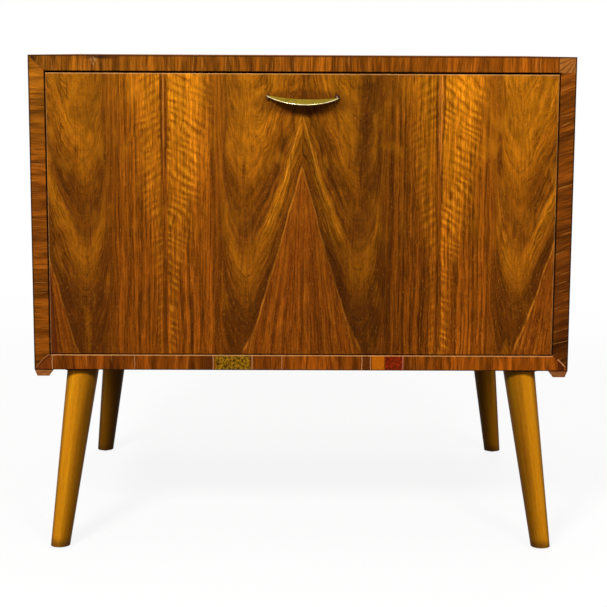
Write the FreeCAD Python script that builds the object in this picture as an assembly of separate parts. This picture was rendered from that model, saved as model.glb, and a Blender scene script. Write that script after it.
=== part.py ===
import FreeCAD
import Part
import math
import os

# A fall-front drinks cabinet: a mitred walnut carcass on four splayed round legs.
# The flap turns on two pivot pins near the floor of the cabinet and is held level
# when open by two rod stays, each sliding through a swivelling guide.
# Everything is in millimetres. X runs to the right seen from the front, Y runs
# towards the back and Z up. While the pieces are made, Y is 0 on the front of the
# carcass and Z is 0 on the floor. Left and right are as seen from the front.

Vector = FreeCAD.Vector
RIGHT = Vector(1, 0, 0)
BACKWARD = Vector(0, 1, 0)
UP = Vector(0, 0, 1)

# Carcass
CARCASS_WIDTH = 700.0
CARCASS_DEPTH = 500.0
CARCASS_HEIGHT = 408.0
BOARD = 20.0
BAND_THICKNESS = 3.0
ARRIS = 0.6
BACK_THICKNESS = 5.0
BACK_REBATE = 8.0
BACK_CLEARANCE = 0.25
SPLINE_WIDTH = 16.0
SPLINE_THICKNESS = 4.0
SPLINE_END_GAP = 20.0

# Inside
DIVIDER_THICKNESS = 12.0
DIVIDER_SPACING = 300.0
DIVIDER_SETBACK = 34.0
HOUSING_DEPTH = 4.0
GLASS_THICKNESS = 6.0
GLASS_SIDE_CLEARANCE = 1.5
GLASS_SETBACK = 12.0
GLASS_BACK_CLEARANCE = 8.0
SHELF_HEIGHT = 190.0
SHELF_STUD_RADIUS = 2.5
SHELF_STUD_DEPTH = 8.0
SHELF_STUD_REACH = 9.0
SHELF_STUD_WIDTH = 9.0
SHELF_STUD_THICKNESS = 1.5
SHELF_STUD_INSET = 50.0

# Legs and runners
LEG_HEIGHT = 238.0
LEG_TOP_RADIUS = 20.8
LEG_FOOT_RADIUS = 12.6
LEG_SIDE_INSET = 60.6
LEG_END_INSET = 30.0
LEG_SIDE_SPLAY = 7.23
LEG_END_SPLAY = 9.03
LEG_PLATE_SIZE = 48.0
LEG_PLATE_THICKNESS = 2.0
LEG_PLATE_CORNER = 6.0
LEG_PLATE_SCREW_SPACING = 36.0
HANGER_BOLT_RADIUS = 4.0
HANGER_BOLT_DEPTH = 42.0
HANGER_BOLT_RISE = 15.0
HANGER_BORE_RADIUS = 5.5
HANGER_BORE_RISE = 17.0
GLIDE_RADIUS = 6.0
GLIDE_THICKNESS = 2.5
GLIDE_ARRIS = 1.5
GLIDE_NAIL_RADIUS = 1.2
GLIDE_NAIL_LENGTH = 14.0
RUNNER_TOP_WIDTH = 24.0
RUNNER_HEIGHT = 8.5
RUNNER_OUTER_SLOPE = 3.5
RUNNER_INNER_SLOPE = 5.0
RUNNER_END_INSET = 1.5
RUNNER_SCREW_INSET = 70.0

# Flap
FLAP_THICKNESS = 19.0
FLAP_TOP_GAP = 2.5
FLAP_SIDE_GAP = 2.0
FLAP_BOTTOM_GAP = 1.5
FLAP_OPEN_ANGLE = 90.0
LIPPING_THICKNESS = 6.0
VENEER = 0.8
INNER_LEAF_WIDTH = 177.0

# Pivot hinges
PIVOT_BACK = 6.0
PIVOT_RISE = 16.0
PIVOT_PIN_RADIUS = 2.5
PIVOT_PIN_REACH = 5.0
PIVOT_CLEARANCE = 0.08
PIVOT_BORE_RADIUS = 3.2
PIVOT_BORE_DEPTH = 6.0
PIVOT_PLATE_THICKNESS = 2.0
PIVOT_PLATE_WIDTH = 9.0
PIVOT_PLATE_LENGTH = 46.0
PIVOT_PLATE_SCREWS = (15.0, 31.0)
WASHER_RADIUS = 5.0
WASHER_THICKNESS = 1.4
WASHER_CLEARANCE = 0.15

# Pull
PULL_SPAN = 93.0
PULL_POST_SPACING = 88.0
PULL_POST_RADIUS = 3.0
PULL_POST_LENGTH = 5.0
PULL_OUTER_BOW = 19.4
PULL_INNER_BOW = 6.0
PULL_THICKNESS = 2.4
PULL_TIP_WIDTH = 3.0
PULL_EDGE_ROUND = 0.7
PULL_DROOP = 29.0
PULL_FROM_TOP = 29.5
PULL_SCREW_RADIUS = 1.8
PULL_SCREW_ENGAGEMENT = 3.5
PULL_SCREW_HEAD_RADIUS = 4.0
PULL_SCREW_HEAD_HEIGHT = 2.4

# Magnetic catch
CATCH_WIDTH = 46.0
CATCH_DEPTH = 15.0
CATCH_HEIGHT = 13.0
CATCH_POCKET_WIDTH = 24.0
CATCH_POCKET_DEPTH = 12.0
CATCH_MAGNET_HEIGHT = 5.0
CATCH_POLE_THICKNESS = 1.5
CATCH_POLE_PROUD = 0.6
CATCH_GAP = 0.3
CATCH_SCREW_SPACING = 36.0
STRIKE_WIDTH = 40.0
STRIKE_HEIGHT = 12.0
STRIKE_THICKNESS = 1.5
STRIKE_SCREW_SPACING = 30.0

# Rod stays
STAY_RADIUS = 200.0
STAY_SWIVEL_ANGLE = 25.0
STAY_STANDOFF = 8.0
STAY_WALL_DISTANCE = 12.0
STAY_CLEARANCE = 0.3
STAY_ROD_RADIUS = 3.0
STAY_EYE_RADIUS = 6.5
STAY_EYE_THICKNESS = 5.0
STAY_EYE_OVERLAP = 2.0
STAY_PIN_RADIUS = 2.0
STAY_PIN_CLEARANCE = 0.08
STAY_PIN_HEAD_RADIUS = 3.5
STAY_PIN_HEAD_HEIGHT = 1.4
STAY_BLOCK_RADIUS = 7.0
STAY_BLOCK_BORE_CLEARANCE = 0.15
STAY_BLOCK_ARRIS = 1.5
STAY_SPIGOT_RADIUS = 3.0
STAY_RIVET_RADIUS = 4.5
STAY_RIVET_HEIGHT = 1.5
STAY_RECESS_RADIUS = 6.5
STAY_RECESS_DEPTH = 4.0
STAY_PLATE_THICKNESS = 2.0
STAY_PLATE_WIDTH = 18.0
STAY_PLATE_LENGTH = 44.0
STAY_PLATE_SCREW_SPACING = 30.0
STAY_STOP_RADIUS = 6.0
STAY_STOP_LENGTH = 8.0
STAY_STOP_SOCKET = 6.0
STAY_STOP_ARRIS = 1.5
STAY_FOOT_WIDTH = 22.0
STAY_FOOT_HEIGHT = 16.0
STAY_FOOT_THICKNESS = 2.0
STAY_LUG_THICKNESS = 2.5
STAY_FOOT_SCREW_INSET = 7.0
STAY_FOOT_SCREW_SPACING = 9.0

# Wood screws with sunk heads
FASTENER_SIDES = 6
SCREW_RADIUS = 1.6
SCREW_HEAD_RADIUS = 3.2
SCREW_HEAD_DEPTH = 1.2
SCREW_BITE = 12.0
SMALL_SCREW_RADIUS = 1.2
SMALL_SCREW_HEAD_RADIUS = 2.4

# Levels and faces that several pieces share
HALF_WIDTH = CARCASS_WIDTH / 2
INSIDE_HALF_WIDTH = HALF_WIDTH - BOARD
UNDERSIDE = LEG_HEIGHT
TOP = UNDERSIDE + CARCASS_HEIGHT
FLOOR = UNDERSIDE + BOARD
CEILING = TOP - BOARD
BACK_FACE = CARCASS_DEPTH
BACK_SHOULDER = BACK_FACE - BACK_THICKNESS
FLAP_HALF_WIDTH = INSIDE_HALF_WIDTH - FLAP_SIDE_GAP
FLAP_FOOT = FLOOR + FLAP_BOTTOM_GAP
FLAP_HEAD = CEILING - FLAP_TOP_GAP
PIVOT = Vector(0, PIVOT_BACK, FLOOR + PIVOT_RISE)
PULL_HEIGHT = FLAP_HEAD - PULL_FROM_TOP


def block(low, high):
    """Return a box between two opposite corners."""
    size = high - low
    return Part.makeBox(size.x, size.y, size.z, low)


def prism(points, travel):
    """Return a solid made by carrying a closed outline along a vector."""
    outline = Part.makePolygon(points + [points[0]])
    return Part.Face(outline).extrude(travel)


def bar(start, axis, radius, length):
    """Return a thin round bar drawn with flat sides, for the many small fasteners."""
    turn = FreeCAD.Rotation(UP, axis)
    step = 2 * math.pi / FASTENER_SIDES
    corners = [Vector(math.cos(i * step), math.sin(i * step), 0) * radius for i in range(FASTENER_SIDES)]
    return prism([start + turn.multVec(corner) for corner in corners], axis * length)


def screw(head, direction, length, radius=SCREW_RADIUS, head_radius=SCREW_HEAD_RADIUS):
    """Return a screw with a sunk head: its flat top is at a point and it runs along a direction."""
    shank = bar(head, direction, radius, length)
    return shank.fuse(bar(head, direction, head_radius, SCREW_HEAD_DEPTH)).removeSplitter()


def small_screw(head, direction, length):
    """Return a small screw with a sunk head, as used on hinges and fittings."""
    return screw(head, direction, length, SMALL_SCREW_RADIUS, SMALL_SCREW_HEAD_RADIUS)


def stadium(centre, half_width, half_length, along, normal, thickness):
    """Return a plate with round ends: its long axis, its normal and its thickness are given."""
    across = normal.cross(along)
    straight = half_length - half_width
    points = [centre + along * a + across * b for a, b in (
        (-straight, -half_width), (straight, -half_width), (straight, half_width), (-straight, half_width))]
    far = centre + along * half_length
    near = centre - along * half_length
    edges = [
        Part.LineSegment(points[0], points[1]).toShape(),
        Part.Arc(points[1], far, points[2]).toShape(),
        Part.LineSegment(points[2], points[3]).toShape(),
        Part.Arc(points[3], near, points[0]).toShape(),
    ]
    return Part.Face(Part.Wire(edges)).extrude(normal * thickness)


def mirrored(shape):
    """Return the left-hand copy of a right-hand piece."""
    return shape.mirror(Vector(0, 0, 0), RIGHT)


def both_sides(shape):
    """Return a right-hand piece and its left-hand copy as a list."""
    return [shape, mirrored(shape)]


def cut_all(shape, tools):
    """Return a shape with every tool cut out of it."""
    return shape.cut(list(tools)) if tools else shape


def edges_near(shape, test):
    """Return the edges of a shape whose centre passes a test."""
    return [edge for edge in shape.Edges if test(edge.CenterOfMass, edge)]


# Carcass boards. Each is drawn as a mitred outline seen from the front.

def board_outline(y):
    """Return the eight mitre corners of the carcass, outer then inner, in a plane."""
    outer = [Vector(x, y, z) for x, z in (
        (-HALF_WIDTH, UNDERSIDE), (HALF_WIDTH, UNDERSIDE), (HALF_WIDTH, TOP), (-HALF_WIDTH, TOP))]
    inner = [Vector(x, y, z) for x, z in (
        (-INSIDE_HALF_WIDTH, FLOOR), (INSIDE_HALF_WIDTH, FLOOR),
        (INSIDE_HALF_WIDTH, CEILING), (-INSIDE_HALF_WIDTH, CEILING))]
    return outer, inner


def mitred_strip(corner, front, back):
    """Return the board or band that starts at a corner, counted from lower left."""
    outer, inner = board_outline(front)
    following = (corner + 1) % 4
    points = [outer[corner], outer[following], inner[following], inner[corner]]
    return prism(points, BACKWARD * (back - front))


def back_rebate():
    """Return the space that the back panel's rebate takes out of the boards."""
    half = INSIDE_HALF_WIDTH + BACK_REBATE
    low = Vector(-half, BACK_SHOULDER, FLOOR - BACK_REBATE)
    return block(low, Vector(half, BACK_FACE, CEILING + BACK_REBATE))


def divider_solid(side):
    """Return an upright divider, let into the floor and ceiling boards."""
    centre = side * DIVIDER_SPACING / 2
    low = Vector(centre - DIVIDER_THICKNESS / 2, DIVIDER_SETBACK, FLOOR - HOUSING_DEPTH)
    high = Vector(centre + DIVIDER_THICKNESS / 2, BACK_SHOULDER, CEILING + HOUSING_DEPTH)
    return block(low, high)


def corner_splines():
    """Return the four loose tongues glued across the mitres."""
    reach = SPLINE_WIDTH / 2
    half = SPLINE_THICKNESS / 2
    front = BAND_THICKNESS + SPLINE_END_GAP
    length = BACK_SHOULDER - SPLINE_END_GAP - front
    splines = []
    for x_side in (-1, 1):
        for z_side, level in ((-1, FLOOR), (1, CEILING)):
            middle = Vector(x_side * (INSIDE_HALF_WIDTH + BOARD * 0.4), front, level + z_side * BOARD * 0.4)
            across = Vector(x_side, 0, -z_side).normalize()
            through = Vector(x_side, 0, z_side).normalize()
            points = [middle + across * a + through * b for a, b in (
                (-reach, -half), (reach, -half), (reach, half), (-reach, half))]
            splines.append(prism(points, BACKWARD * length))
    return splines


def edge_band(corner):
    """Return one front edge band with its long front edges eased."""
    band = mitred_strip(corner, 0, BAND_THICKNESS)
    axis = RIGHT if corner in (0, 2) else UP
    front = edges_near(band, lambda centre, edge: centre.y < 0.01
                       and abs(edge.tangentAt(edge.FirstParameter).dot(axis)) > 0.99)
    return band.makeChamfer(ARRIS, front)


def back_panel():
    """Return the plywood back, lying in the rebate."""
    half = INSIDE_HALF_WIDTH + BACK_REBATE - BACK_CLEARANCE
    rise = BACK_REBATE - BACK_CLEARANCE
    low = Vector(-half, BACK_SHOULDER, FLOOR - rise)
    return block(low, Vector(half, BACK_FACE, CEILING + rise))


def back_screws():
    """Return the screws round the edge of the back panel."""
    side = INSIDE_HALF_WIDTH + BACK_REBATE / 2
    low = FLOOR - BACK_REBATE / 2
    high = CEILING + BACK_REBATE / 2
    middle = (low + high) / 2
    inset = BOARD * 2
    places = [(x, z) for x in (-side, side) for z in (FLOOR + inset, middle, CEILING - inset)]
    places += [(x, z) for x in (-side / 2, side / 2) for z in (low, high)]
    length = BACK_THICKNESS + SCREW_BITE
    return [small_screw(Vector(x, BACK_FACE, z), -BACKWARD, length) for x, z in places]


# Shelf

def shelf_studs():
    """Return the four studs that carry the glass shelf: a round peg with a flat tab."""
    face = DIVIDER_SPACING / 2 - DIVIDER_THICKNESS / 2
    level = FLOOR + SHELF_HEIGHT
    studs = []
    for depth in (DIVIDER_SETBACK + GLASS_SETBACK + SHELF_STUD_INSET, BACK_SHOULDER - SHELF_STUD_INSET):
        peg_start = Vector(face, depth, level - SHELF_STUD_WIDTH / 2)
        peg = bar(peg_start, RIGHT, SHELF_STUD_RADIUS, SHELF_STUD_DEPTH)
        tab = block(
            Vector(face - SHELF_STUD_REACH, depth - SHELF_STUD_WIDTH / 2, level - SHELF_STUD_THICKNESS),
            Vector(face, depth + SHELF_STUD_WIDTH / 2, level))
        root = block(
            Vector(face - SHELF_STUD_THICKNESS, depth - SHELF_STUD_WIDTH / 2, level - SHELF_STUD_WIDTH),
            Vector(face, depth + SHELF_STUD_WIDTH / 2, level))
        studs += both_sides(peg.fuse([tab, root]).removeSplitter())
    return studs


def glass_shelf():
    """Return the glass shelf, between the dividers."""
    half = DIVIDER_SPACING / 2 - DIVIDER_THICKNESS / 2 - GLASS_SIDE_CLEARANCE
    low = Vector(-half, DIVIDER_SETBACK + GLASS_SETBACK, FLOOR + SHELF_HEIGHT)
    high = Vector(half, BACK_SHOULDER - GLASS_BACK_CLEARANCE, FLOOR + SHELF_HEIGHT + GLASS_THICKNESS)
    return block(low, high)


# Legs

def leg_down(side, end):
    """Return the direction in which a leg runs from the cabinet to the floor."""
    sideways = side * math.tan(math.radians(LEG_SIDE_SPLAY))
    endways = end * math.tan(math.radians(LEG_END_SPLAY))
    return Vector(sideways, endways, -1).normalize()


def leg_origin(side, end):
    """Return the point where a leg's axis meets the underside of the cabinet."""
    middle = CARCASS_DEPTH / 2
    return Vector(side * (HALF_WIDTH - LEG_SIDE_INSET), middle + end * (middle - LEG_END_INSET), UNDERSIDE)


def leg_seat(side, end):
    """Return the centre of a leg's top, where it is pulled up against its plate."""
    down = leg_down(side, end)
    return leg_origin(side, end) - down * (LEG_PLATE_THICKNESS / down.z)


def leg_foot(side, end):
    """Return the point where a leg's axis meets the sawn end of its foot."""
    down = leg_down(side, end)
    drop = (GLIDE_THICKNESS - UNDERSIDE) / down.z
    return leg_origin(side, end) + down * drop


def leg(side, end):
    """Return one tapered round leg, sawn level at both ends and bored for its bolt and glide."""
    down = leg_down(side, end)
    foot = leg_foot(side, end)
    spare = LEG_TOP_RADIUS
    length = (foot - leg_seat(side, end)).Length
    spare_taper = spare * (LEG_TOP_RADIUS - LEG_FOOT_RADIUS) / length
    cone = Part.makeCone(
        LEG_TOP_RADIUS + spare_taper, LEG_FOOT_RADIUS - spare_taper,
        length + 2 * spare, leg_seat(side, end) - down * spare, down)
    reach = Vector(CARCASS_WIDTH, CARCASS_DEPTH, 0)
    sawn = cone.common(block(foot - reach, leg_seat(side, end) + reach))
    return sawn.cut([hanger_bolt(side, end), foot_glide(side, end)])


def hanger_bolt(side, end):
    """Return the double-ended bolt that joins a leg to its plate."""
    up = -leg_down(side, end)
    start = leg_seat(side, end) - up * HANGER_BOLT_DEPTH
    return bar(start, up, HANGER_BOLT_RADIUS, HANGER_BOLT_DEPTH + HANGER_BOLT_RISE)


def hanger_bore(side, end):
    """Return the clearance bore over a hanger bolt's top end."""
    up = -leg_down(side, end)
    return bar(leg_seat(side, end), up, HANGER_BORE_RADIUS, HANGER_BORE_RISE)


def leg_plate_screws(side, end):
    """Return the four screws of a leg plate."""
    centre = leg_origin(side, end) - UP * LEG_PLATE_THICKNESS
    half = LEG_PLATE_SCREW_SPACING / 2
    places = [centre + Vector(x, y, 0) for x in (-half, half) for y in (-half, half)]
    return [screw(place, UP, LEG_PLATE_THICKNESS + SCREW_BITE) for place in places]


def leg_plate(side, end):
    """Return the flat steel plate that a leg is pulled up against."""
    centre = leg_origin(side, end)
    half = LEG_PLATE_SIZE / 2
    flange = block(
        centre - Vector(half, half, LEG_PLATE_THICKNESS),
        centre + Vector(half, half, 0))
    corners = edges_near(flange, lambda middle, edge: abs(middle.z - centre.z + LEG_PLATE_THICKNESS / 2) < 0.01)
    flange = flange.makeChamfer(LEG_PLATE_CORNER, corners)
    return flange.cut([hanger_bolt(side, end)] + leg_plate_screws(side, end))


def foot_glide(side, end):
    """Return the domed nail glide under a leg."""
    foot = leg_foot(side, end)
    base = foot - UP * GLIDE_THICKNESS
    head = Part.makeCylinder(GLIDE_RADIUS, GLIDE_THICKNESS, base, UP)
    head = head.makeChamfer(GLIDE_ARRIS, edges_near(head, lambda centre, edge: centre.z < base.z + 0.01))
    nail = bar(foot - UP * GLIDE_ARRIS, UP, GLIDE_NAIL_RADIUS, GLIDE_NAIL_LENGTH + GLIDE_ARRIS)
    return head.fuse(nail).removeSplitter()


# Runners

def right_runner():
    """Return the bevelled runner under the right side."""
    outer = HALF_WIDTH
    inner = HALF_WIDTH - RUNNER_TOP_WIDTH
    bottom = UNDERSIDE - RUNNER_HEIGHT
    front = RUNNER_END_INSET
    points = [
        Vector(outer, front, UNDERSIDE),
        Vector(outer - RUNNER_OUTER_SLOPE, front, bottom),
        Vector(inner + RUNNER_INNER_SLOPE, front, bottom),
        Vector(inner, front, UNDERSIDE),
    ]
    return prism(points, BACKWARD * (CARCASS_DEPTH - 2 * RUNNER_END_INSET))


def right_runner_screws():
    """Return the screws driven up through the right runner."""
    centre = HALF_WIDTH - RUNNER_TOP_WIDTH / 2 + (RUNNER_INNER_SLOPE - RUNNER_OUTER_SLOPE) / 2
    bottom = UNDERSIDE - RUNNER_HEIGHT
    depths = (RUNNER_SCREW_INSET, CARCASS_DEPTH - RUNNER_SCREW_INSET)
    length = RUNNER_HEIGHT + SCREW_BITE
    return [screw(Vector(centre, depth, bottom), UP, length) for depth in depths]


# Pivot hinges, right hand

def pivot_point(x):
    """Return a point of the flap's turning axis."""
    return Vector(x, PIVOT.y, PIVOT.z)


def right_pivot_socket_blank():
    """Return the outline of the socket plate, as let into the side board."""
    half_width = PIVOT_PLATE_WIDTH / 2
    back_shift = PIVOT_PLATE_LENGTH / 2 - half_width
    centre = pivot_point(INSIDE_HALF_WIDTH) + BACKWARD * back_shift
    return stadium(centre, half_width, PIVOT_PLATE_LENGTH / 2, BACKWARD, RIGHT, PIVOT_PLATE_THICKNESS)


def right_pivot_bore():
    """Return the hole behind the socket plate that clears the pin."""
    depth = PIVOT_PLATE_THICKNESS + PIVOT_BORE_DEPTH
    return Part.makeCylinder(PIVOT_BORE_RADIUS, depth, pivot_point(INSIDE_HALF_WIDTH), RIGHT)


def right_pivot_socket_screws():
    """Return the screws of the socket plate."""
    start = pivot_point(INSIDE_HALF_WIDTH)
    length = PIVOT_PLATE_THICKNESS + SCREW_BITE
    return [small_screw(start + BACKWARD * step, RIGHT, length) for step in PIVOT_PLATE_SCREWS]


def right_pivot_socket():
    """Return the brass plate in the side board that the flap's pin turns in."""
    hole = Part.makeCylinder(
        PIVOT_PIN_RADIUS + PIVOT_CLEARANCE, PIVOT_PLATE_THICKNESS, pivot_point(INSIDE_HALF_WIDTH), RIGHT)
    return right_pivot_socket_blank().cut([hole] + right_pivot_socket_screws())


def right_pivot_washer():
    """Return the washer between the flap and the side board."""
    start = pivot_point(INSIDE_HALF_WIDTH)
    disc = Part.makeCylinder(WASHER_RADIUS, WASHER_THICKNESS, start, -RIGHT)
    hole = Part.makeCylinder(PIVOT_PIN_RADIUS + WASHER_CLEARANCE, WASHER_THICKNESS, start, -RIGHT)
    return disc.cut(hole)


def right_pivot_plate_blank():
    """Return the outline of the flap's plate, as let into the flap's end."""
    half_width = PIVOT_PLATE_WIDTH / 2
    rise = PIVOT_PLATE_LENGTH / 2 - half_width
    centre = pivot_point(FLAP_HALF_WIDTH - PIVOT_PLATE_THICKNESS) + UP * rise
    return stadium(centre, half_width, PIVOT_PLATE_LENGTH / 2, UP, RIGHT, PIVOT_PLATE_THICKNESS)


def right_pivot_plate_screws():
    """Return the screws of the flap's plate."""
    start = pivot_point(FLAP_HALF_WIDTH)
    length = PIVOT_PLATE_THICKNESS + SCREW_BITE
    return [small_screw(start + UP * step, -RIGHT, length) for step in PIVOT_PLATE_SCREWS]


def right_pivot_plate():
    """Return the brass plate in the flap's end, with its riveted pin."""
    length = FLAP_SIDE_GAP + PIVOT_PIN_REACH
    pin = Part.makeCylinder(PIVOT_PIN_RADIUS, length, pivot_point(FLAP_HALF_WIDTH), RIGHT)
    plate = right_pivot_plate_blank().cut(right_pivot_plate_screws())
    return plate.fuse(pin)


# Flap

def flap_slab(inset, front, back):
    """Return a slab of the flap's size, drawn in by an inset all round."""
    half = FLAP_HALF_WIDTH - inset
    return block(Vector(-half, front, FLAP_FOOT + inset), Vector(half, back, FLAP_HEAD - inset))


def flap_lipping():
    """Return the four mitred strips round the flap's edge."""
    front = VENEER
    thickness = FLAP_THICKNESS - 2 * VENEER
    half = FLAP_HALF_WIDTH
    outer = [Vector(x, front, z) for x, z in (
        (-half, FLAP_FOOT), (half, FLAP_FOOT), (half, FLAP_HEAD), (-half, FLAP_HEAD))]
    drawn = half - LIPPING_THICKNESS
    low = FLAP_FOOT + LIPPING_THICKNESS
    high = FLAP_HEAD - LIPPING_THICKNESS
    inner = [Vector(x, front, z) for x, z in ((-drawn, low), (drawn, low), (drawn, high), (-drawn, high))]
    strips = []
    for corner in range(4):
        following = (corner + 1) % 4
        points = [outer[corner], outer[following], inner[following], inner[corner]]
        strips.append(prism(points, BACKWARD * thickness))
    return strips


def flap_veneer():
    """Return the four book-matched leaves on the front of the flap."""
    sheet = flap_slab(0, 0, VENEER)
    rim = edges_near(sheet, lambda centre, edge: centre.y < 0.01)
    sheet = sheet.makeChamfer(ARRIS, rim)
    seams = (-FLAP_HALF_WIDTH, -INNER_LEAF_WIDTH, 0, INNER_LEAF_WIDTH, FLAP_HALF_WIDTH)
    leaves = []
    for left, right in zip(seams, seams[1:]):
        leaves.append(sheet.common(block(Vector(left, 0, FLAP_FOOT), Vector(right, VENEER, FLAP_HEAD))))
    return leaves


# Pull

def pull_arc(span, bow):
    """Return the ends and middle of one of the pull's arcs, flat in the XY plane."""
    return [Vector(-span / 2, 0, 0), Vector(0, -bow, 0), Vector(span / 2, 0, 0)]


def pull():
    """Return the crescent pull: a drooping bow that thins to its ends, on two posts."""
    outer = pull_arc(PULL_SPAN, PULL_OUTER_BOW)
    inner = pull_arc(PULL_SPAN - 2 * PULL_TIP_WIDTH, PULL_INNER_BOW)
    right_end = Vector((PULL_SPAN - PULL_TIP_WIDTH) / 2, PULL_TIP_WIDTH / 2, 0)
    left_end = Vector(-right_end.x, right_end.y, 0)
    outline = Part.Wire([
        Part.Arc(outer[0], outer[1], outer[2]).toShape(),
        Part.Arc(outer[2], right_end, inner[2]).toShape(),
        Part.Arc(inner[2], inner[1], inner[0]).toShape(),
        Part.Arc(inner[0], left_end, outer[0]).toShape(),
    ])
    bow = Part.Face(outline).extrude(UP * PULL_THICKNESS)
    long_edges = edges_near(bow, lambda centre, edge: edge.Length > PULL_SPAN / 2)
    bow = bow.makeFillet(PULL_EDGE_ROUND, long_edges)
    bow.translate(UP * -PULL_THICKNESS / 2)
    bow.rotate(Vector(0, 0, 0), RIGHT, PULL_DROOP)
    bow.translate(Vector(0, PULL_THICKNESS / 2 - PULL_POST_LENGTH, PULL_HEIGHT))
    posts = [Part.makeCylinder(PULL_POST_RADIUS, PULL_POST_LENGTH, place, -BACKWARD) for place in pull_post_places()]
    solid = bow.fuse(posts).removeSplitter()
    return solid.cut(pull_screws())


def pull_post_places():
    """Return where the pull's posts stand on the flap's face."""
    half = PULL_POST_SPACING / 2
    return [Vector(x, 0, PULL_HEIGHT) for x in (-half, half)]


def pull_screws():
    """Return the two machine screws driven through the flap into the posts."""
    length = PULL_SCREW_HEAD_HEIGHT + FLAP_THICKNESS + PULL_SCREW_ENGAGEMENT
    rear = BACKWARD * (FLAP_THICKNESS + PULL_SCREW_HEAD_HEIGHT)
    screws = []
    for place in pull_post_places():
        shank = bar(place + rear, -BACKWARD, PULL_SCREW_RADIUS, length)
        head = bar(place + rear, -BACKWARD, PULL_SCREW_HEAD_RADIUS, PULL_SCREW_HEAD_HEIGHT)
        screws.append(shank.fuse(head).removeSplitter())
    return screws


# Catch

def catch_front():
    """Return the depth of the magnet's pole faces, just behind the closed strike plate."""
    return FLAP_THICKNESS + STRIKE_THICKNESS + CATCH_GAP


def catch_stack():
    """Return the levels of the magnet and its two poles, from the bottom up."""
    height = CATCH_MAGNET_HEIGHT + 2 * CATCH_POLE_THICKNESS
    start = CEILING - CATCH_HEIGHT / 2 - height / 2
    return [start, start + CATCH_POLE_THICKNESS, start + height - CATCH_POLE_THICKNESS, start + height]


def catch_layer(low, high, proud):
    """Return one layer in the pocket of the catch."""
    half = CATCH_POCKET_WIDTH / 2
    front = catch_front() + CATCH_POLE_PROUD
    return block(Vector(-half, front - proud, low), Vector(half, front + CATCH_POCKET_DEPTH, high))


def catch_poles():
    """Return the two steel pole plates, standing proud of the case."""
    levels = catch_stack()
    return [
        catch_layer(levels[0], levels[1], CATCH_POLE_PROUD),
        catch_layer(levels[2], levels[3], CATCH_POLE_PROUD),
    ]


def catch_magnet():
    """Return the magnet between the poles."""
    levels = catch_stack()
    return catch_layer(levels[1], levels[2], 0)


def catch_screws():
    """Return the screws that hold the catch up to the ceiling board."""
    half = CATCH_SCREW_SPACING / 2
    depth = catch_front() + CATCH_POLE_PROUD + CATCH_DEPTH / 2
    length = CATCH_HEIGHT + SCREW_BITE
    return [small_screw(Vector(x, depth, CEILING - CATCH_HEIGHT), UP, length) for x in (-half, half)]


def catch_case():
    """Return the moulded case of the catch."""
    half = CATCH_WIDTH / 2
    front = catch_front() + CATCH_POLE_PROUD
    case = block(
        Vector(-half, front, CEILING - CATCH_HEIGHT),
        Vector(half, front + CATCH_DEPTH, CEILING))
    levels = catch_stack()
    pocket = catch_layer(levels[0], levels[3], 0)
    return case.cut([pocket] + catch_screws())


def strike_height():
    """Return the height of the strike plate's centre."""
    levels = catch_stack()
    return (levels[0] + levels[3]) / 2


def strike_screws():
    """Return the screws of the strike plate."""
    half = STRIKE_SCREW_SPACING / 2
    face = FLAP_THICKNESS + STRIKE_THICKNESS
    length = STRIKE_THICKNESS + SCREW_BITE
    return [small_screw(Vector(x, face, strike_height()), -BACKWARD, length) for x in (-half, half)]


def strike_plate():
    """Return the steel plate on the flap that the catch holds."""
    half = STRIKE_WIDTH / 2
    rise = STRIKE_HEIGHT / 2
    plate = block(
        Vector(-half, FLAP_THICKNESS, strike_height() - rise),
        Vector(half, FLAP_THICKNESS + STRIKE_THICKNESS, strike_height() + rise))
    return plate.cut(strike_screws())


# Rod stays, right hand. The rod's pin and the swivelling guide lie at one distance
# from the flap's pivot, so the rod turns half as far as the flap.

def stay_plane():
    """Return the distance of the rods from the middle of the cabinet."""
    return INSIDE_HALF_WIDTH - STAY_WALL_DISTANCE


def stay_pin_point():
    """Return the point on the closed flap that the rod turns on."""
    back = FLAP_THICKNESS + STAY_STANDOFF - PIVOT_BACK
    rise = math.sqrt(STAY_RADIUS ** 2 - back ** 2)
    return pivot_point(stay_plane()) + Vector(0, back, rise)


def stay_swivel_point():
    """Return the point that the rod slides through."""
    angle = math.radians(STAY_SWIVEL_ANGLE)
    offset = Vector(0, math.sin(angle), math.cos(angle)) * STAY_RADIUS
    return pivot_point(stay_plane()) + offset


def stay_direction():
    """Return the direction of the rod on the closed flap, from its pin to the guide."""
    return (stay_swivel_point() - stay_pin_point()).normalize()


def stay_open_chord():
    """Return the distance from the rod's pin to the guide with the flap open."""
    pin_angle = math.asin((FLAP_THICKNESS + STAY_STANDOFF - PIVOT_BACK) / STAY_RADIUS)
    closed = math.radians(STAY_SWIVEL_ANGLE) - pin_angle
    return 2 * STAY_RADIUS * math.sin((closed + math.radians(FLAP_OPEN_ANGLE)) / 2)


def stay_stop_distance():
    """Return how far along the rod its stop begins."""
    return stay_open_chord() + STAY_BLOCK_RADIUS + STAY_CLEARANCE


def right_stay_rod():
    """Return the rod with its eye."""
    pin = stay_pin_point()
    half = STAY_EYE_THICKNESS / 2
    eye = Part.makeCylinder(STAY_EYE_RADIUS, STAY_EYE_THICKNESS, pin - RIGHT * half, RIGHT)
    neck = STAY_EYE_RADIUS - STAY_EYE_OVERLAP
    length = stay_stop_distance() + STAY_STOP_SOCKET - neck
    shank = Part.makeCylinder(STAY_ROD_RADIUS, length, pin + stay_direction() * neck, stay_direction())
    hole_radius = STAY_PIN_RADIUS + STAY_PIN_CLEARANCE
    hole = Part.makeCylinder(hole_radius, STAY_EYE_THICKNESS, pin - RIGHT * half, RIGHT)
    return eye.fuse(shank).removeSplitter().cut(hole)


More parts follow.
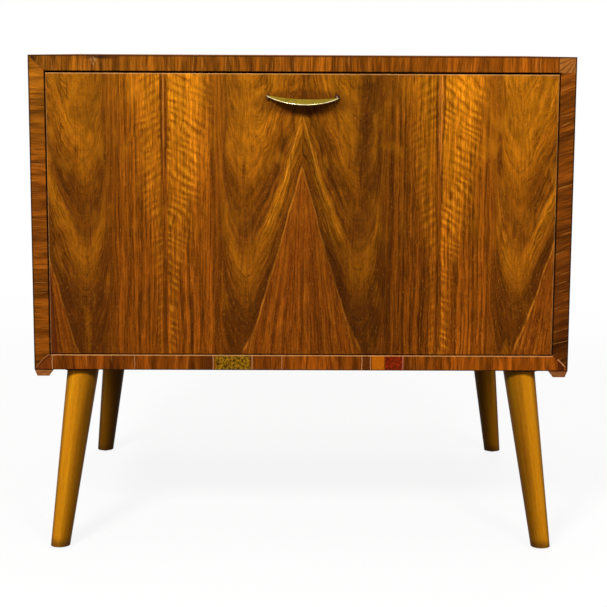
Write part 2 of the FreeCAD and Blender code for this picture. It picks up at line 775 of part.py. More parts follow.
def right_stay_stop():
    """Return the round stop screwed on the end of the rod."""
    start = stay_pin_point() + stay_direction() * stay_stop_distance()
    knob = Part.makeCylinder(STAY_STOP_RADIUS, STAY_STOP_LENGTH, start, stay_direction())
    far = start + stay_direction() * STAY_STOP_LENGTH
    knob = knob.makeChamfer(STAY_STOP_ARRIS, edges_near(knob, lambda centre, edge: (centre - far).Length < 1))
    socket = Part.makeCylinder(STAY_ROD_RADIUS, STAY_STOP_SOCKET, start, stay_direction())
    return knob.cut(socket)


def right_stay_block():
    """Return the swivelling guide: a cross-bored barrel riveted into its plate."""
    swivel = stay_swivel_point()
    plate_face = INSIDE_HALF_WIDTH - STAY_PLATE_THICKNESS
    outer = plate_face - STAY_CLEARANCE
    inner = 2 * stay_plane() - outer
    start = Vector(inner, swivel.y, swivel.z)
    barrel = Part.makeCylinder(STAY_BLOCK_RADIUS, outer - inner, start, RIGHT)
    rim = edges_near(barrel, lambda centre, edge: centre.x < inner + 0.01 and edge.Closed)
    barrel = barrel.makeChamfer(STAY_BLOCK_ARRIS, rim)
    rivet_face = INSIDE_HALF_WIDTH + STAY_CLEARANCE
    spigot = Part.makeCylinder(
        STAY_SPIGOT_RADIUS, rivet_face - outer, Vector(outer, swivel.y, swivel.z), RIGHT)
    rivet = Part.makeCylinder(
        STAY_RIVET_RADIUS, STAY_RIVET_HEIGHT, Vector(rivet_face, swivel.y, swivel.z), RIGHT)
    bore_start = swivel - stay_direction() * STAY_BLOCK_RADIUS * 2
    bore = Part.makeCylinder(
        STAY_ROD_RADIUS + STAY_BLOCK_BORE_CLEARANCE, STAY_BLOCK_RADIUS * 4, bore_start, stay_direction())
    return barrel.fuse([spigot, rivet]).cut(bore)


def right_stay_plate_screws():
    """Return the screws of the guide's plate."""
    swivel = stay_swivel_point()
    face = Vector(INSIDE_HALF_WIDTH - STAY_PLATE_THICKNESS, swivel.y, swivel.z)
    half = STAY_PLATE_SCREW_SPACING / 2
    length = STAY_PLATE_THICKNESS + SCREW_BITE
    return [small_screw(face + UP * step, RIGHT, length) for step in (-half, half)]


def right_stay_plate():
    """Return the plate on the side board that the guide swivels in."""
    swivel = stay_swivel_point()
    centre = Vector(INSIDE_HALF_WIDTH - STAY_PLATE_THICKNESS, swivel.y, swivel.z)
    plate = stadium(centre, STAY_PLATE_WIDTH / 2, STAY_PLATE_LENGTH / 2, UP, RIGHT, STAY_PLATE_THICKNESS)
    hole = Part.makeCylinder(STAY_SPIGOT_RADIUS + STAY_PIN_CLEARANCE, STAY_PLATE_THICKNESS, centre, RIGHT)
    return plate.cut([hole] + right_stay_plate_screws())


def right_stay_recess():
    """Return the recess in the side board behind the guide's rivet."""
    swivel = stay_swivel_point()
    centre = Vector(INSIDE_HALF_WIDTH, swivel.y, swivel.z)
    return Part.makeCylinder(STAY_RECESS_RADIUS, STAY_RECESS_DEPTH, centre, RIGHT)


def right_stay_lug_face():
    """Return how far from the middle the foot's lug stands, clear of the rod."""
    return stay_plane() - STAY_ROD_RADIUS - STAY_CLEARANCE


def right_stay_foot_screws():
    """Return the screws of the stay's foot."""
    pin = stay_pin_point()
    x = right_stay_lug_face() - STAY_FOOT_WIDTH + STAY_FOOT_SCREW_INSET
    face = FLAP_THICKNESS + STAY_FOOT_THICKNESS
    half = STAY_FOOT_SCREW_SPACING / 2
    length = STAY_FOOT_THICKNESS + SCREW_BITE
    return [small_screw(Vector(x, face, pin.z + step), -BACKWARD, length) for step in (-half, half)]


def right_stay_foot():
    """Return the angle bracket on the flap: a plate with an upstanding round lug."""
    pin = stay_pin_point()
    outer = right_stay_lug_face()
    rise = STAY_FOOT_HEIGHT / 2
    plate = block(
        Vector(outer - STAY_FOOT_WIDTH, FLAP_THICKNESS, pin.z - rise),
        Vector(outer, FLAP_THICKNESS + STAY_FOOT_THICKNESS, pin.z + rise))
    lug_start = Vector(outer - STAY_LUG_THICKNESS, pin.y, pin.z)
    lug = Part.makeCylinder(STAY_EYE_RADIUS, STAY_LUG_THICKNESS, lug_start, RIGHT)
    web = block(
        Vector(lug_start.x, FLAP_THICKNESS, pin.z - STAY_EYE_RADIUS),
        Vector(outer, pin.y, pin.z + STAY_EYE_RADIUS))
    return plate.fuse([lug, web]).removeSplitter().cut([right_stay_pin()] + right_stay_foot_screws())


def right_stay_pin():
    """Return the riveted pin that the rod's eye turns on."""
    pin = stay_pin_point()
    inner_face = right_stay_lug_face() - STAY_LUG_THICKNESS
    outer_face = stay_plane() + STAY_ROD_RADIUS + STAY_CLEARANCE
    head = STAY_PIN_HEAD_HEIGHT
    shank = Part.makeCylinder(
        STAY_PIN_RADIUS, outer_face - inner_face, Vector(inner_face, pin.y, pin.z), RIGHT)
    heads = [Part.makeCylinder(STAY_PIN_HEAD_RADIUS, head, Vector(x, pin.y, pin.z), RIGHT)
             for x in (inner_face - head, outer_face)]
    return shank.fuse(heads).removeSplitter()


# Putting the pieces together

def every_leg(make):
    """Return one piece for each leg: front left, front right, back left, back right."""
    return [make(side, end) for end in (-1, 1) for side in (-1, 1)]


def carcass_pieces():
    """Return the boards and bands of the carcass, cut for all that is let into them."""
    splines = corner_splines()
    runner_screws = [piece for one in right_runner_screws() for piece in both_sides(one)]
    dividers = [divider_solid(-1), divider_solid(1)]
    plate_screws = [one for four in every_leg(leg_plate_screws) for one in four]
    sockets = both_sides(right_pivot_socket_blank())
    side_tools = sockets + both_sides(right_pivot_bore()) + both_sides(right_stay_recess())
    for one in right_pivot_socket_screws() + right_stay_plate_screws():
        side_tools += both_sides(one)
    common = splines + [back_rebate()] + back_screws()
    pieces = {
        "bottom_panel": common + runner_screws + dividers + plate_screws + every_leg(hanger_bore),
        "right_side": common + runner_screws + side_tools,
        "top_panel": common + dividers + catch_screws(),
        "left_side": common + runner_screws + side_tools,
    }
    boards = {}
    for corner, (name, tools) in enumerate(pieces.items()):
        boards[name] = cut_all(mitred_strip(corner, BAND_THICKNESS, BACK_FACE), tools)
    for corner, name in enumerate(("band_bottom", "band_right", "band_top", "band_left")):
        boards[name] = cut_all(edge_band(corner), sockets)
    studs = shelf_studs()
    boards["left_divider"] = cut_all(dividers[0], studs)
    boards["right_divider"] = cut_all(dividers[1], studs)
    boards["corner_splines"] = Part.makeCompound([cut_all(spline, runner_screws) for spline in splines])
    boards["runner_screws"] = Part.makeCompound(runner_screws)
    boards["leg_plate_screws"] = Part.makeCompound(plate_screws)
    boards["right_runner"] = cut_all(right_runner(), runner_screws)
    boards["left_runner"] = cut_all(mirrored(right_runner()), runner_screws)
    return boards


def flap_pieces():
    """Return the flap's boards and skins, cut for the fittings."""
    recesses = both_sides(right_pivot_plate_blank())
    for one in right_pivot_plate_screws():
        recesses += both_sides(one)
    through = pull_screws()
    inside = strike_screws()
    for one in right_stay_foot_screws():
        inside += both_sides(one)
    core = flap_slab(LIPPING_THICKNESS, VENEER, FLAP_THICKNESS - VENEER)
    lining = flap_slab(0, FLAP_THICKNESS - VENEER, FLAP_THICKNESS)
    tools = recesses + through + inside
    return {
        "flap_board": cut_all(core, tools),
        "flap_lipping": Part.makeCompound([cut_all(strip, tools) for strip in flap_lipping()]),
        "flap_veneer": Part.makeCompound([cut_all(leaf, through) for leaf in flap_veneer()]),
        "flap_lining": cut_all(lining, through + inside),
    }


def sided_nodes(stem, shape):
    """Return a right-hand piece and its left-hand copy as two named nodes."""
    return {stem + "_right": shape, stem + "_left": mirrored(shape)}


def group(right_hand_pieces):
    """Return right-hand pieces and their left-hand copies as one group of solids."""
    return Part.makeCompound([copy for piece in right_hand_pieces for copy in both_sides(piece)])


def all_pieces():
    """Return every piece of the cabinet by name."""
    nodes = carcass_pieces()
    nodes.update(flap_pieces())
    nodes["back_panel"] = cut_all(back_panel(), back_screws())
    nodes["back_screws"] = Part.makeCompound(back_screws())
    nodes["glass_shelf"] = glass_shelf()
    nodes["shelf_studs"] = Part.makeCompound(shelf_studs())
    leg_names = ("leg_front_left", "leg_front_right", "leg_back_left", "leg_back_right")
    for name, piece in zip(leg_names, every_leg(leg)):
        nodes[name] = piece
    nodes["leg_plates"] = Part.makeCompound(every_leg(leg_plate))
    nodes["hanger_bolts"] = Part.makeCompound(every_leg(hanger_bolt))
    nodes["foot_glides"] = Part.makeCompound(every_leg(foot_glide))
    nodes.update(sided_nodes("pivot_socket", right_pivot_socket()))
    nodes["pivot_socket_screws"] = group(right_pivot_socket_screws())
    nodes["pivot_washers"] = group([right_pivot_washer()])
    nodes.update(sided_nodes("pivot_plate", right_pivot_plate()))
    nodes["pivot_plate_screws"] = group(right_pivot_plate_screws())
    nodes["pull"] = pull()
    nodes["pull_screws"] = Part.makeCompound(pull_screws())
    nodes["catch_case"] = catch_case()
    nodes["catch_magnet"] = catch_magnet()
    nodes["catch_poles"] = Part.makeCompound(catch_poles())
    nodes["catch_screws"] = Part.makeCompound(catch_screws())
    nodes["strike_plate"] = strike_plate()
    nodes["strike_screws"] = Part.makeCompound(strike_screws())
    nodes.update(sided_nodes("stay_rod", right_stay_rod()))
    nodes.update(sided_nodes("stay_stop", right_stay_stop()))
    nodes.update(sided_nodes("stay_block", right_stay_block()))
    nodes.update(sided_nodes("stay_plate", right_stay_plate()))
    nodes["stay_plate_screws"] = group(right_stay_plate_screws())
    nodes.update(sided_nodes("stay_foot", right_stay_foot()))
    nodes["stay_foot_screws"] = group(right_stay_foot_screws())
    nodes["stay_pins"] = group([right_stay_pin()])
    return nodes


def centring_shift(pieces):
    """Return the shift that brings the origin to the middle of the cabinet's footprint."""
    boxes = [piece.optimalBoundingBox() for piece in pieces]
    front = min(box.YMin for box in boxes)
    back = max(box.YMax for box in boxes)
    return BACKWARD * -(front + back) / 2


def report_point(name, point, shift):
    """Print a point of the mechanism in the finished frame."""
    moved = point + shift
    print("%s: %.4f %.4f %.4f" % (name, moved.x, moved.y, moved.z))


os.makedirs("parts", exist_ok=True)
finished = all_pieces()
shift = centring_shift(finished.values())
for name, shape in finished.items():
    shape.translate(shift)
    shape.exportStep("parts/" + name + ".step")
report_point("carcass front", Vector(0, 0, 0), shift)
report_point("flap pivot", PIVOT, shift)
report_point("right stay pin", stay_pin_point(), shift)
report_point("right stay swivel", stay_swivel_point(), shift)
print("%d nodes" % len(finished))
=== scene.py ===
import math

import bmesh
import bpy
from mathutils import Matrix, Vector


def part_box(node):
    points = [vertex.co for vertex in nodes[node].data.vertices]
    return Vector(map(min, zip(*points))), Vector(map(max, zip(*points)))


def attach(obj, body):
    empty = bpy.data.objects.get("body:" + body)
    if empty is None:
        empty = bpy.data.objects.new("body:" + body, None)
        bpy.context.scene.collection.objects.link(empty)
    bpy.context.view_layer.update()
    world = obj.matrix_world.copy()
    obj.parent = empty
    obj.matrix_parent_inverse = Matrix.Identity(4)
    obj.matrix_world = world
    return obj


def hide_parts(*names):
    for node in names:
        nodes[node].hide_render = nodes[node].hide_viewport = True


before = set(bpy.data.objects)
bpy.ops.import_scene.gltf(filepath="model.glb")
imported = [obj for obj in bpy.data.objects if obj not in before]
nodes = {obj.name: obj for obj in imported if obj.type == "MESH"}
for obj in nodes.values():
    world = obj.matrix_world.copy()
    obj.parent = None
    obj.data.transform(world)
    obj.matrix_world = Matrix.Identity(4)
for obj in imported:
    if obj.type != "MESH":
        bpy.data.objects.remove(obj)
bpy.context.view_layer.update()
scene = bpy.context.scene
scene.view_settings.view_transform = "Standard"


# ---------------------------------------------------------------- flap face
# Four book-matched leaves of figured walnut veneer, laid on the flap with their seams
# at the middle and 177 mm to each side. Each leaf has a flame pointing down, rippled
# curl beside its straight-grained edge, and a clear satin lacquer.

# a finish is built up from readings that vary over the surface, and from stains laid over
# one another by those readings
def stain(red, green, blue):
    """A colour from a paint chart, 0 to 255, as the light it sends back."""
    chart = [level / 255 for level in (red, green, blue)]
    light = [level / 12.92 if level <= 0.04045 else ((level + 0.055) / 1.055) ** 2.4
             for level in chart]
    return (*light, 1.0)


class Reading:
    """A number or colour that varies over the surface. Sums with it add nodes to its finish."""

    def __init__(self, finish, socket):
        self.finish = finish
        self.socket = socket

    def __add__(self, other):
        return self.finish.maths("ADD", self, other)

    def __sub__(self, other):
        return self.finish.maths("SUBTRACT", self, other)

    def __rsub__(self, other):
        return self.finish.maths("SUBTRACT", other, self)

    def __mul__(self, other):
        return self.finish.maths("MULTIPLY", self, other)

    def __truediv__(self, other):
        return self.finish.maths("DIVIDE", self, other)

    def __pow__(self, other):
        return self.finish.maths("POWER", self, other)

    def __gt__(self, other):
        return self.finish.maths("GREATER_THAN", self, other)

    def __abs__(self):
        return self.finish.maths("ABSOLUTE", self)

    __radd__ = __add__
    __rmul__ = __mul__


class Finish:
    """One surface finish. Its readings are in millimetres."""

    def __init__(self, name):
        self.material = bpy.data.materials.new(name)
        self.material.use_nodes = True
        self.tree = self.material.node_tree
        self.shader = self.tree.nodes["Principled BSDF"]

    def put(self, kind, inputs, output=0, **settings):
        """Adds a node with its inputs filled and its settings made, and reads one output."""
        made = self.tree.nodes.new("ShaderNode" + kind)
        for name, value in settings.items():
            setattr(made, name, value)
        for name, value in inputs.items():
            self.plug(made.inputs[name], value)
        return Reading(self, made.outputs[output])

    def plug(self, socket, value):
        """Joins a reading to a socket, or sets a plain value on it."""
        if isinstance(value, Reading):
            self.tree.links.new(value.socket, socket)
        else:
            socket.default_value = value

    def maths(self, operation, first, second=0.0):
        """One sum of two readings or plain numbers."""
        return self.put("Math", {0: first, 1: second}, operation=operation)

    def place(self):
        """How far right, back and up the point lies."""
        spot = self.put("TexCoord", {}, output="Object")
        large = self.put("VectorMath", {0: spot, "Scale": 1000.0}, operation="SCALE")
        split = self.put("SeparateXYZ", {0: large})
        return [Reading(self, output) for output in split.socket.node.outputs]

    def facing(self):
        """How squarely the surface looks right, back and up, from -1 to 1."""
        split = self.put("SeparateXYZ", {0: self.put("TexCoord", {}, output="Normal")})
        return [Reading(self, output) for output in split.socket.node.outputs]

    def grain(self, across, along=0.0, through=0.0, detail=2.0, rough=0.5):
        """Cloudy noise from 0 to 1. Each reading is divided by the size of the grain that way."""
        spot = self.put("CombineXYZ", {0: across, 1: along, 2: through})
        return self.put("TexNoise", {"Vector": spot, "Scale": 1.0, "Detail": detail,
                                     "Roughness": rough})

    def flecks(self, across, along=0.0, through=0.0):
        """A random number from 0 to 1 for each unit cell."""
        spot = self.put("CombineXYZ", {0: across, 1: along, 2: through})
        cell = self.put("VectorMath", {0: spot}, operation="FLOOR")
        return self.put("TexWhiteNoise", {"Vector": cell})

    def fade(self, value, start, end):
        """0 at start, rising smoothly to 1 at end."""
        return self.put("MapRange", {"Value": value, "From Min": start, "From Max": end},
                        interpolation_type="SMOOTHSTEP")

    def line(self, value, centre, half_width):
        """1 on a line and 0 beyond its half width."""
        return self.fade(abs(value - centre), half_width, 0.0)

    def ramp(self, value, stops):
        """Stains at places from 0 to 1, and a smooth change between them."""
        made = self.put("ValToRGB", {"Fac": value})
        band = made.socket.node.color_ramp
        band.interpolation = "EASE"
        while len(band.elements) < len(stops):
            band.elements.new(0.5)
        for element, (position, colour) in zip(band.elements, stops):
            element.position = position
            element.color = stain(*colour)
        return made

    def blend(self, share, below, above):
        """The lower colour, covered by the upper one where share is 1."""
        return self.put("Mix", {0: share, 6: below, 7: above}, output=2, data_type="RGBA")

    def tone(self, colour, level):
        """The colour made lighter or darker by a level round 1."""
        return self.put("VectorMath", {0: colour, "Scale": level}, operation="SCALE")

    def close(self, colour, roughness, relief=None, depth=0.1, **fixed):
        """Wires the finish up. Depth is the relief's height in millimetres."""
        self.plug(self.shader.inputs["Base Color"], colour)
        self.plug(self.shader.inputs["Roughness"], roughness)
        if relief is not None:
            bump = self.put("Bump", {"Height": relief, "Distance": depth / 1000, "Strength": 1.0})
            self.plug(self.shader.inputs["Normal"], bump)
        for name, value in fixed.items():
            self.plug(self.shader.inputs[name.replace("_", " ")], value)
        return self.material


def coat(node_names, material):
    """Gives CAD nodes one finish in place of the plain one they came with."""
    for name in node_names:
        mesh = nodes[name].data
        mesh.materials.clear()
        mesh.materials.append(material)


flap_low, flap_high = [corner * 1000 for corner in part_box("flap_veneer")]
FLAP_SIDE = flap_high.x
FLAP_FOOT = flap_low.z
FLAP_TOP = flap_high.z
FLAP_HEIGHT = FLAP_TOP - FLAP_FOOT
LEAF_SEAM = 177.0
FLAME_AXIS = 104.0
FLAME_BLUNT = 13.0
FLAME_SLOPE = 3.05
FAN_EDGE = 127.6
FAN_POINT = 335.0
KNOT_ACROSS = 113.0
KNOT_UP = 268.0
PULL_SHADOW_HEIGHT = 587.0

veneer = Finish("book_matched_walnut")
x, y, z = veneer.place()
leaf = (x > -LEAF_SEAM) + (x > 0.0) + (x > LEAF_SEAM)
first_leaf = 1.0 - (x > -LEAF_SEAM)
second_leaf = (x > -LEAF_SEAM) - (x > 0.0)
third_leaf = (x > 0.0) - (x > LEAF_SEAM)
turned_leaf = (x > -LEAF_SEAM) - (x > 0.0) + (x > LEAF_SEAM)
across = abs(abs(x) - LEAF_SEAM)
up = z - FLAP_FOOT
slice_depth = leaf * 0.23

# the flame: growth rings cut into arms that rise from a blunt point, and straighten into
# upright lines on the curl's side, where the leaf is cut on the quarter
drift = veneer.grain(across / 52, up / 120, slice_depth, detail=5, rough=0.55) - 0.5
waver = veneer.grain(across / 12, up / 55, slice_depth, detail=3) - 0.5
from_axis = across - FLAME_AXIS + drift * 10
arm = FLAME_SLOPE * (((from_axis ** 2.0) + FLAME_BLUNT * FLAME_BLUNT) ** 0.5 - FLAME_BLUNT)
arm = arm - 14.0 + first_leaf * 14.0
lean = veneer.fade(across + waver * 10, 54.0, 84.0)
unrest = 26.0 + 74.0 * veneer.fade(up, 190.0, 330.0)
ring = arm - lean * up + waver * 17 + drift * unrest
flame = veneer.ramp((ring + 400) / 800, [
    (0.02, (152, 89, 7)), (0.12, (150, 87, 7)), (0.175, (142, 80, 6)), (0.208, (130, 71, 5)),
    (0.235, (110, 57, 4)), (0.268, (90, 45, 4)), (0.30, (102, 52, 5)), (0.322, (124, 67, 6)),
    (0.342, (138, 77, 6)), (0.362, (128, 70, 6)), (0.385, (108, 56, 4)), (0.412, (86, 42, 4)),
    (0.455, (78, 37, 3)), (0.51, (82, 39, 3)), (0.60, (98, 48, 4)), (0.80, (112, 55, 6)),
])
haze = veneer.grain(across / 24, up / 80, slice_depth * 2 + 6.0, detail=4, rough=0.6) - 0.5
flame = veneer.blend(veneer.fade(haze, 0.0, 0.15) * 0.42, flame, stain(142, 80, 6))
flame = veneer.blend(veneer.fade(haze, -0.02, -0.16) * 0.40, flame, stain(92, 46, 4))
crown_way = ((across - 95.0 + drift * 22) / 17.0) ** 2.0 + ((up - 322.0) / 36.0) ** 2.0
crown = veneer.fade(crown_way + haze * 2.0, 1.6, 0.30)
flame = veneer.blend(crown * 0.42, flame, stain(104, 56, 4))
flame = veneer.blend(veneer.fade(up, 236.0, 330.0) * 0.30, flame, stain(144, 83, 7))
plume = veneer.line(across + drift * 40 + waver * 16, 93.0, 27.0) * third_leaf
plume = plume * veneer.fade(up + haze * 60, 170.0, 260.0)
flame = veneer.blend(plume * 0.88, flame, stain(78, 37, 4))
gold_arm = veneer.line(ring, -128.0, 30.0) * veneer.fade(from_axis, 6.0, 26.0)
gold_arm = gold_arm * veneer.fade(up, 130.0, 200.0) * veneer.fade(up, 292.0, 226.0)
flame = veneer.blend(gold_arm * 0.45, flame, stain(178, 106, 10))
apex_line = veneer.line(up + 393.0 - across * 4.0 + drift * 26 + waver * 8, 0.0, 7.0)
apex_line = apex_line * veneer.fade(up, 205.0, 250.0) * veneer.fade(up, 326.0, 312.0)
flame = veneer.blend(apex_line * 0.58, flame, stain(196, 122, 26))

# beyond the flame's far side a pale line, and steep reddish grain fanned under it
fan_curve = veneer.maths("MAXIMUM", FAN_EDGE - across, 0.0) ** 2.0
beyond = (across - FAN_EDGE) * 3.5 + 77.0 + fan_curve * 0.03 - up
beyond = beyond + drift * 34 + waver * 15 - first_leaf * 30.0
outside = veneer.fade(beyond, -5.0, 15.0) * veneer.fade(across, 92.0, 99.0)
below_point = veneer.maths("MAXIMUM", FAN_POINT - up, 60.0)
fan_spread = (LEAF_SEAM - across) / below_point * 250.0 + drift * 8
fan_line = veneer.grain(fan_spread / 2.8, up / 300, slice_depth, detail=5, rough=0.75)
reddish = veneer.ramp(fan_line, [(0.30, (70, 29, 4)), (0.43, (102, 47, 5)), (0.53, (122, 59, 6)),
                                 (0.60, (132, 66, 7)), (0.70, (172, 98, 18))])
reddish = veneer.tone(reddish, 0.92 + 0.24 * veneer.fade(up, 90.0, 240.0))
fan_ring = veneer.grain(beyond / 16, up / 220, slice_depth + 5.0, detail=4)
fan_ring = veneer.fade(fan_ring, 0.44, 0.62)
reddish = veneer.blend(fan_ring * (0.22 + 0.34 * veneer.fade(up, 60.0, 220.0)), reddish,
                       stain(112, 58, 6))

straight = veneer.ramp(up / FLAP_HEIGHT, [
    (0.02, (124, 61, 6)), (0.30, (126, 63, 6)), (0.55, (130, 67, 6)), (0.80, (136, 72, 7)),
    (0.97, (150, 83, 8)),
])
straight = veneer.tone(straight, 1.0 - third_leaf * 0.22 * veneer.fade(across, 22.0, 42.0))
colour = veneer.blend(lean, straight, flame)

# long streaks in the straight grain, and the fine ring lines of the flame
streak = veneer.grain((across + drift * 10) / 3.2, up / 260, slice_depth, detail=5, rough=0.76)
streak_level = 0.26 + 1.24 * veneer.fade(streak, 0.32, 0.68)
ring_line = veneer.grain(ring / 13, up / 190, slice_depth, detail=5, rough=0.76)
ring_depth = 0.34 + 0.66 * veneer.fade(abs(from_axis), 5.0, 30.0)
ring_level = 1.0 + (veneer.fade(ring_line, 0.31, 0.69) - 0.56) * 0.94 * ring_depth
colour = veneer.tone(colour, veneer.put("Mix", {0: lean, 2: streak_level, 3: ring_level}))
pencil = veneer.grain(ring / 6, up / 200, slice_depth + 2.0, detail=3)
colour = veneer.blend(veneer.fade(pencil, 0.60, 0.66) * lean * ring_depth * 0.46, colour,
                      stain(70, 30, 3))
rind_break = veneer.fade(veneer.grain(across / 8, up / 60, slice_depth + 8.0), 0.36, 0.56)
rind = veneer.line(across + waver * 9, 77.0, 5.5) * veneer.fade(up, 120.0, 270.0) * rind_break
colour = veneer.blend(rind * 0.62, colour, stain(76, 36, 4))
colour = veneer.blend(outside, colour, reddish)
edge_shade = veneer.line(beyond, -14.0, 34.0) * veneer.fade(across, 98.0, 112.0)
edge_shade = edge_shade * (0.40 + 0.60 * veneer.fade(up, 190.0, 110.0))
colour = veneer.blend(edge_shade * 0.62, colour, stain(68, 31, 3))
pale_line = veneer.line(beyond, 4.0, 6.5) * veneer.fade(across, 97.0, 106.0)
pale_line = pale_line * (1.0 - first_leaf * 0.45 - third_leaf * 0.35)
pale_break = veneer.grain(across / 9, up / 60, slice_depth + 1.0, detail=3)
pale_break = veneer.fade(pale_break, 0.34, 0.60)
colour = veneer.blend(pale_line * (0.10 + 0.52 * pale_break), colour, stain(190, 112, 26))

# the rippled curl beside the seam, its ripples falling away from the seam, broken up by
# the straight fibres; the leaves to the right of a seam have more of it
curl_edge = (17.0 + 42.0 * veneer.fade(up, 60.0, 290.0)) * (0.66 + 0.34 * turned_leaf)
curl_mask = veneer.fade(across / curl_edge, 1.20, 0.55) * veneer.fade(across, 1.5, 6.0)
curl_wander = veneer.grain(across / 80, up / 34, slice_depth * 3, detail=3) - 0.5
curl_turn = (up + across * 0.62 + curl_wander * 34) * 0.57
curl_wave = veneer.maths("SINE", curl_turn)
curl_patch = veneer.fade(veneer.grain(across / 9, up / 22, slice_depth + 7.0, detail=3), 0.40, 0.60)
brick = veneer.fade(veneer.grain(across / 1.8, up / 70, slice_depth * 5, detail=2), 0.30, 0.62)
curl_glow = veneer.fade(up, 40.0, FLAP_HEIGHT)
curl = curl_mask * (0.20 + 0.80 * curl_patch) * (0.60 + 0.40 * curl_glow)
curl = curl * (0.62 + 0.38 * turned_leaf)
glow = (curl_mask ** 1.6) * (0.12 + (0.36 + 0.22 * turned_leaf) * curl_glow)
colour = veneer.blend(glow * 0.42, colour, stain(164, 101, 6))
colour = veneer.tone(colour, 1.0 + curl_wave * curl * (0.16 + 0.22 * brick) + glow * 0.76)
curl_crest = veneer.fade(curl_wave, 0.20, 0.95) * curl * brick
colour = veneer.blend(curl_crest * 0.44, colour, stain(210, 142, 16))
curl_crease = veneer.fade(curl_wave, -0.62, -0.98) * curl
colour = veneer.blend(curl_crease * 0.46, colour, stain(86, 34, 4))

# a small closed knot beside the flame, with the grain swept round it
knot_way = ((across - KNOT_ACROSS) ** 2.0 + ((up - KNOT_UP) * 0.45) ** 2.0) ** 0.5
knot_ring = veneer.line(knot_way + waver * 5, 9.5, 2.2) * 0.5 + veneer.fade(knot_way, 3.2, 1.2)
colour = veneer.blend(knot_ring * 0.5 * (1.0 - (x > 0.0)), colour, stain(70, 32, 3))

# dark heart streak, the strips at the seam and the leaf joints themselves
heart_line = veneer.line(across + waver * 7, 59.0, 2.4) * veneer.fade(up, 20.0, 200.0)
heart_line = heart_line * veneer.fade(up, 310.0, 250.0)
seam_reach = veneer.fade(up, 130.0, 330.0)
seam_centre = 0.6 + seam_reach * (4.2 - 3.0 * second_leaf)
seam_dark = veneer.line(across + waver * 3, seam_centre, 1.3 + seam_reach * 1.7)
seam_break = veneer.fade(veneer.grain(across / 5, up / 26, slice_depth + 4.0), 0.3, 0.5)
seam_dark = seam_dark * (0.5 + 0.5 * seam_break) * (0.30 + 0.55 * seam_reach)
seam_light = veneer.line(across, 1.2, 1.6) * veneer.fade(up, 190.0, 320.0) * (1.0 - second_leaf)
joint = veneer.line(veneer.maths("MINIMUM", across, abs(x)), 0.0, 0.9)
colour = veneer.blend(heart_line * 0.6, colour, stain(62, 26, 3))
colour = veneer.blend(seam_dark, colour, stain(60, 24, 3))
colour = veneer.blend(seam_light * 0.6, colour, stain(180, 108, 38))
colour = veneer.blend(joint * 0.40, colour, stain(52, 20, 2))

# fibres and pores run up the leaf, dark marks lie among them, and the leaves take the
# light differently as they are turned over
fibre_way = veneer.put("Mix", {0: outside, 2: ring / FLAME_SLOPE, 3: fan_spread})
leaning = veneer.grain(fibre_way / 1.9, up / 30, slice_depth * 6, detail=5, rough=0.8)
upright = veneer.grain((across + waver * 6) / 1.9, up / 30, slice_depth * 6, detail=5, rough=0.8)
on_axis = veneer.fade(abs(from_axis), 26.0, 7.0) * lean * 0.72
fibre = veneer.put("Mix", {0: on_axis, 2: leaning, 3: upright})
fuzz = veneer.grain(x / 1.7, z / 1.9, slice_depth, detail=4, rough=0.85)
colour = veneer.tone(colour, 0.02 + 0.96 * veneer.fade(fibre, 0.32, 0.68) + 1.04 * fuzz)
pore = veneer.fade(veneer.grain(fibre_way / 1.4, up / 9, slice_depth * 8, detail=2), 0.60, 0.72)
colour = veneer.blend(pore * 0.46, colour, stain(52, 20, 2))
glint = veneer.fade(veneer.grain(across / 1.3, up / 5, slice_depth * 8 + 3.0, detail=3), 0.58, 0.74)
colour = veneer.blend(glint * 0.24, colour, stain(206, 132, 36))
mark = veneer.fade(veneer.grain(across / 5, up / 46, slice_depth + 9.0, detail=4), 0.58, 0.70)
colour = veneer.blend(mark * 0.52, colour, stain(68, 29, 3))
gilt = veneer.fade(veneer.grain(across / 17, up / 40, slice_depth + 5.0, detail=4), 0.50, 0.72)
colour = veneer.blend(gilt * 0.34 * veneer.fade(up, 60.0, 330.0), colour, stain(186, 112, 12))
turned = 0.98 + 0.10 * (x > -LEAF_SEAM) - 0.23 * (x > 0.0) + 0.33 * (x > LEAF_SEAM)
turned = turned + 0.14 * outside * third_leaf
cloud = veneer.grain(x / 80, z / 100, 3.0, detail=4)
colour = veneer.tone(colour, turned * (0.785 + 0.42 * cloud))

# a painted shadow round and below the pull darkens the wood there
pull_shadow_way = (x / 62.0) ** 2.0 + ((z - PULL_SHADOW_HEIGHT) / 15.0) ** 2.0 + drift * 1.2
pull_shadow = veneer.fade(pull_shadow_way, 1.7, 0.5) * 0.50
colour = veneer.blend(pull_shadow, colour, stain(52, 18, 4))

# a let-in sliver of darker wood at the lower left corner, and a painted highlight along the top and
# side arrises
from_sliver = (x + FLAP_SIDE) - (8.6 - up * 0.069)
sliver = veneer.fade(from_sliver, 0.35, -0.35)
sliver_end = veneer.fade(z, 386.0, 380.0)
colour = veneer.blend(sliver * sliver_end * 0.8, colour, stain(78, 30, 8))
sliver_edge = veneer.line(from_sliver, 0.0, 0.9)
colour = veneer.blend(sliver_edge * sliver_end * 0.8, colour, stain(40, 12, 6))
# painted highlight along the flap's top and side arrises, broken up by noise
arris_break = veneer.grain(x / 5, z / 5, 1.0, detail=3)
arris_highlight = veneer.maths("MAXIMUM", veneer.fade(abs(x), FLAP_SIDE - 1.4, FLAP_SIDE - 0.4) * 0.62,
                     veneer.fade(z, FLAP_TOP - 1.6, FLAP_TOP - 0.5))
colour = veneer.blend(arris_highlight * (0.10 + 0.9 * arris_break), colour, stain(206, 152, 92))
sheen = 0.34 + 0.16 * cloud + 0.10 * fibre
coat(["flap_veneer"], veneer.close(colour, sheen, fibre - joint * 0.8, 0.06,
                                   Specular_IOR_Level=0.03))


# ---------------------------------------------------------------- front edge bands
# The four board edges round the flap are lipped with cross-banded walnut: short lengths
# of veneer whose grain runs across the edge, butted end to end. Two lengths in the bottom
# band are old repairs in odd wood. The corners are mitred, and have opened a little.

